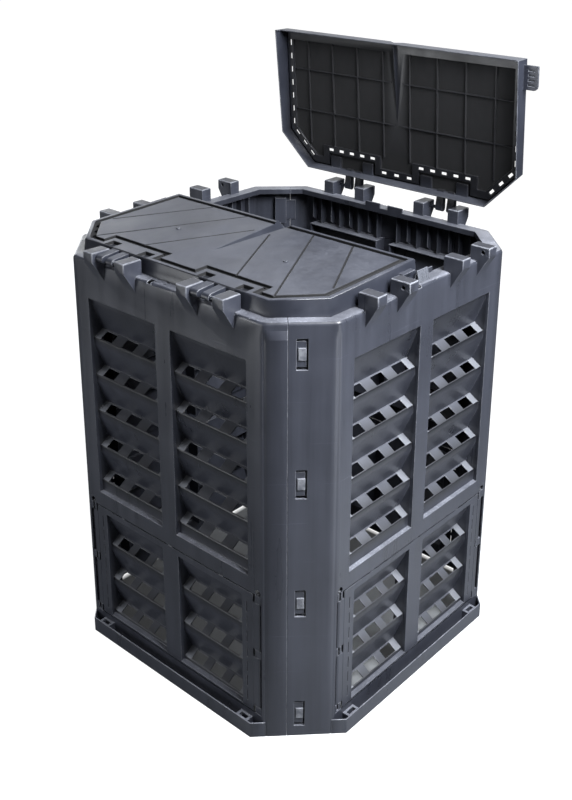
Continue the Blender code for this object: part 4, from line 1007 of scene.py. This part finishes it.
class COMPOSTBIN_OT_lids(bpy.types.Operator):
    """Build the two lid halves, the far one open"""
    bl_idname = "compostbin.lids"
    bl_label = "Lid Halves"

    def execute(self, context):
        finish, detail = context.scene.bin_finish, context.scene.bin_detail
        material = plastic("lid plastic", finish.lid_colour, finish.roughness + 0.02, finish,
                           stretch=(9.0, 14.0, 9.0), grain=850.0, shares=(1.0, 1.1, 0.0, 0.55))
        lid = copy_moulding("lid_left", "lid_moulding_left")
        lines = [lid_line((a[0], side * a[1]), (b[0], side * b[1]), detail) for a, b in LID_LINES for side in (-1, 1)]
        cut_out(lid, weld_on(*lines))
        weld_on(lid, lid_boss(-1), lid_boss(1), *[cross_rib(s, side) for s in LID_CROSS_RIBS for side in (-1, 1)])
        round_edges(lid, detail.edge, rule=lid_wear_and_shade)
        opened = (Matrix.Translation(LID_HINGE) @ Matrix.Rotation(LID_OPEN, 4, "Y") @ Matrix.Rotation(math.pi, 4, "Z")
                  @ Matrix.Translation((LID_HINGE.x, 0.0, -LID_HINGE.z)))
        other = turned_copy(lid, "lid_moulding_right", opened)
        dress(lid, material, "lid_plastic", "lid_left_half", "lid_left")
        dress(other, material, "lid_plastic", "lid_right_half", "lid_right")
        return {"FINISHED"}


def tent_catch():
    """Return the front lid catch: an open tent with ribbed slopes on two legs."""
    low, high = CATCH["from"], CATCH["from"] + CATCH["length"]
    middle, half_width = CATCH["depth"] - HALF, CATCH["half_width"]
    tent = block("lid_catch", (low, middle - half_width, CATCH["foot"]), (high, middle + half_width, CATCH["ridge"]))
    choose(tent, "FACE", lambda face: face.normal.z > 0.9)
    bpy.ops.transform.resize(value=(1.0, 0.16, 1.0), center_override=(0.0, middle, CATCH["ridge"]))
    leave(tent)
    choose(tent, "FACE", lambda face: abs(face.normal.x) > 0.9 or face.normal.z < -0.9)
    bpy.ops.mesh.delete(type="FACE")
    leave(tent)
    step = tent.modifiers.new("sheet", "SOLIDIFY")
    step.thickness = CATCH["sheet"]
    step.offset = -1.0
    step.use_even_offset = True
    apply_all(tent)
    parts = []
    lean = math.atan2(half_width * 0.84, CATCH["ridge"] - CATCH["foot"])
    for side in (-1, 1):
        for index in range(CATCH["ribs"]):
            x = low + 0.0010 + index * (CATCH["length"] - 0.0020) / (CATCH["ribs"] - 1)
            rib = block("slope_rib", (x - 0.0007, -0.0005, -0.0125), (x + 0.0007, 0.0005, 0.0120))
            rib.rotation_euler = (side * lean, 0.0, 0.0)
            rib.location = (0.0, middle + side * 0.0043, (CATCH["ridge"] + CATCH["foot"]) / 2)
            parts.append(settle(rib))
        near, far = sorted((middle + side * 0.0048, middle + side * half_width))
        parts.append(block("leg", (low + 0.014, near, CATCH["leg"]), (low + 0.024, far, CATCH["foot"] + 0.001)))
    weld_on(tent, *parts)
    return round_edges(tent, 0.00035, 40.0)


class COMPOSTBIN_OT_catches(bpy.types.Operator):
    """Build the two tent-shaped lid catches"""
    bl_idname = "compostbin.catches"
    bl_label = "Lid Catches"

    def execute(self, context):
        finish = context.scene.bin_finish
        material = plastic("catch plastic", finish.catch_colour, finish.roughness - 0.05, finish,
                           stretch=(60.0, 60.0, 12.0), grain=1200.0, shares=(0.8, 1.2, 0.0, 1.0))
        front = tent_catch()
        front.name = front.data.name = "tent_catch_front"
        back = turned_copy(front, "tent_catch_back", quarter(2))
        dress(front, material, "catch_plastic", "bin", "lid_catch_front")
        dress(back, material, "catch_plastic", "bin", "lid_catch_back")
        return {"FINISHED"}


class COMPOSTBIN_PT_panel(bpy.types.Panel):
    """Buttons and sizes of the compost bin"""
    bl_idname = "COMPOSTBIN_PT_panel"
    bl_label = "Compost Bin"
    bl_space_type = "VIEW_3D"
    bl_region_type = "UI"
    bl_category = "Compost Bin"

    def draw(self, context):
        for operator in STEPS:
            self.layout.operator(operator.bl_idname)
        for group in (context.scene.bin_stage, context.scene.bin_finish, context.scene.bin_detail):
            box = self.layout.box()
            for key in group.__annotations__:
                box.prop(group, key)


GROUPS = {"bin_stage": BinStage, "bin_finish": BinFinish, "bin_detail": BinDetail}
STEPS = (COMPOSTBIN_OT_stage, COMPOSTBIN_OT_walls, COMPOSTBIN_OT_hatches, COMPOSTBIN_OT_rods, COMPOSTBIN_OT_lids,
         COMPOSTBIN_OT_catches)


def register():
    for kind in (*GROUPS.values(), *STEPS, COMPOSTBIN_PT_panel):
        bpy.utils.register_class(kind)
    for key, group in GROUPS.items():
        setattr(bpy.types.Scene, key, bpy.props.PointerProperty(type=group))


def unregister():
    for key in GROUPS:
        delattr(bpy.types.Scene, key)
    for kind in reversed((*GROUPS.values(), *STEPS, COMPOSTBIN_PT_panel)):
        bpy.utils.unregister_class(kind)


def main():
    """Build the whole picture."""
    register()
    for operator in STEPS:
        group, name = operator.bl_idname.split(".")
        getattr(getattr(bpy.ops, group), name)()


if __name__ == "__main__":
    main()
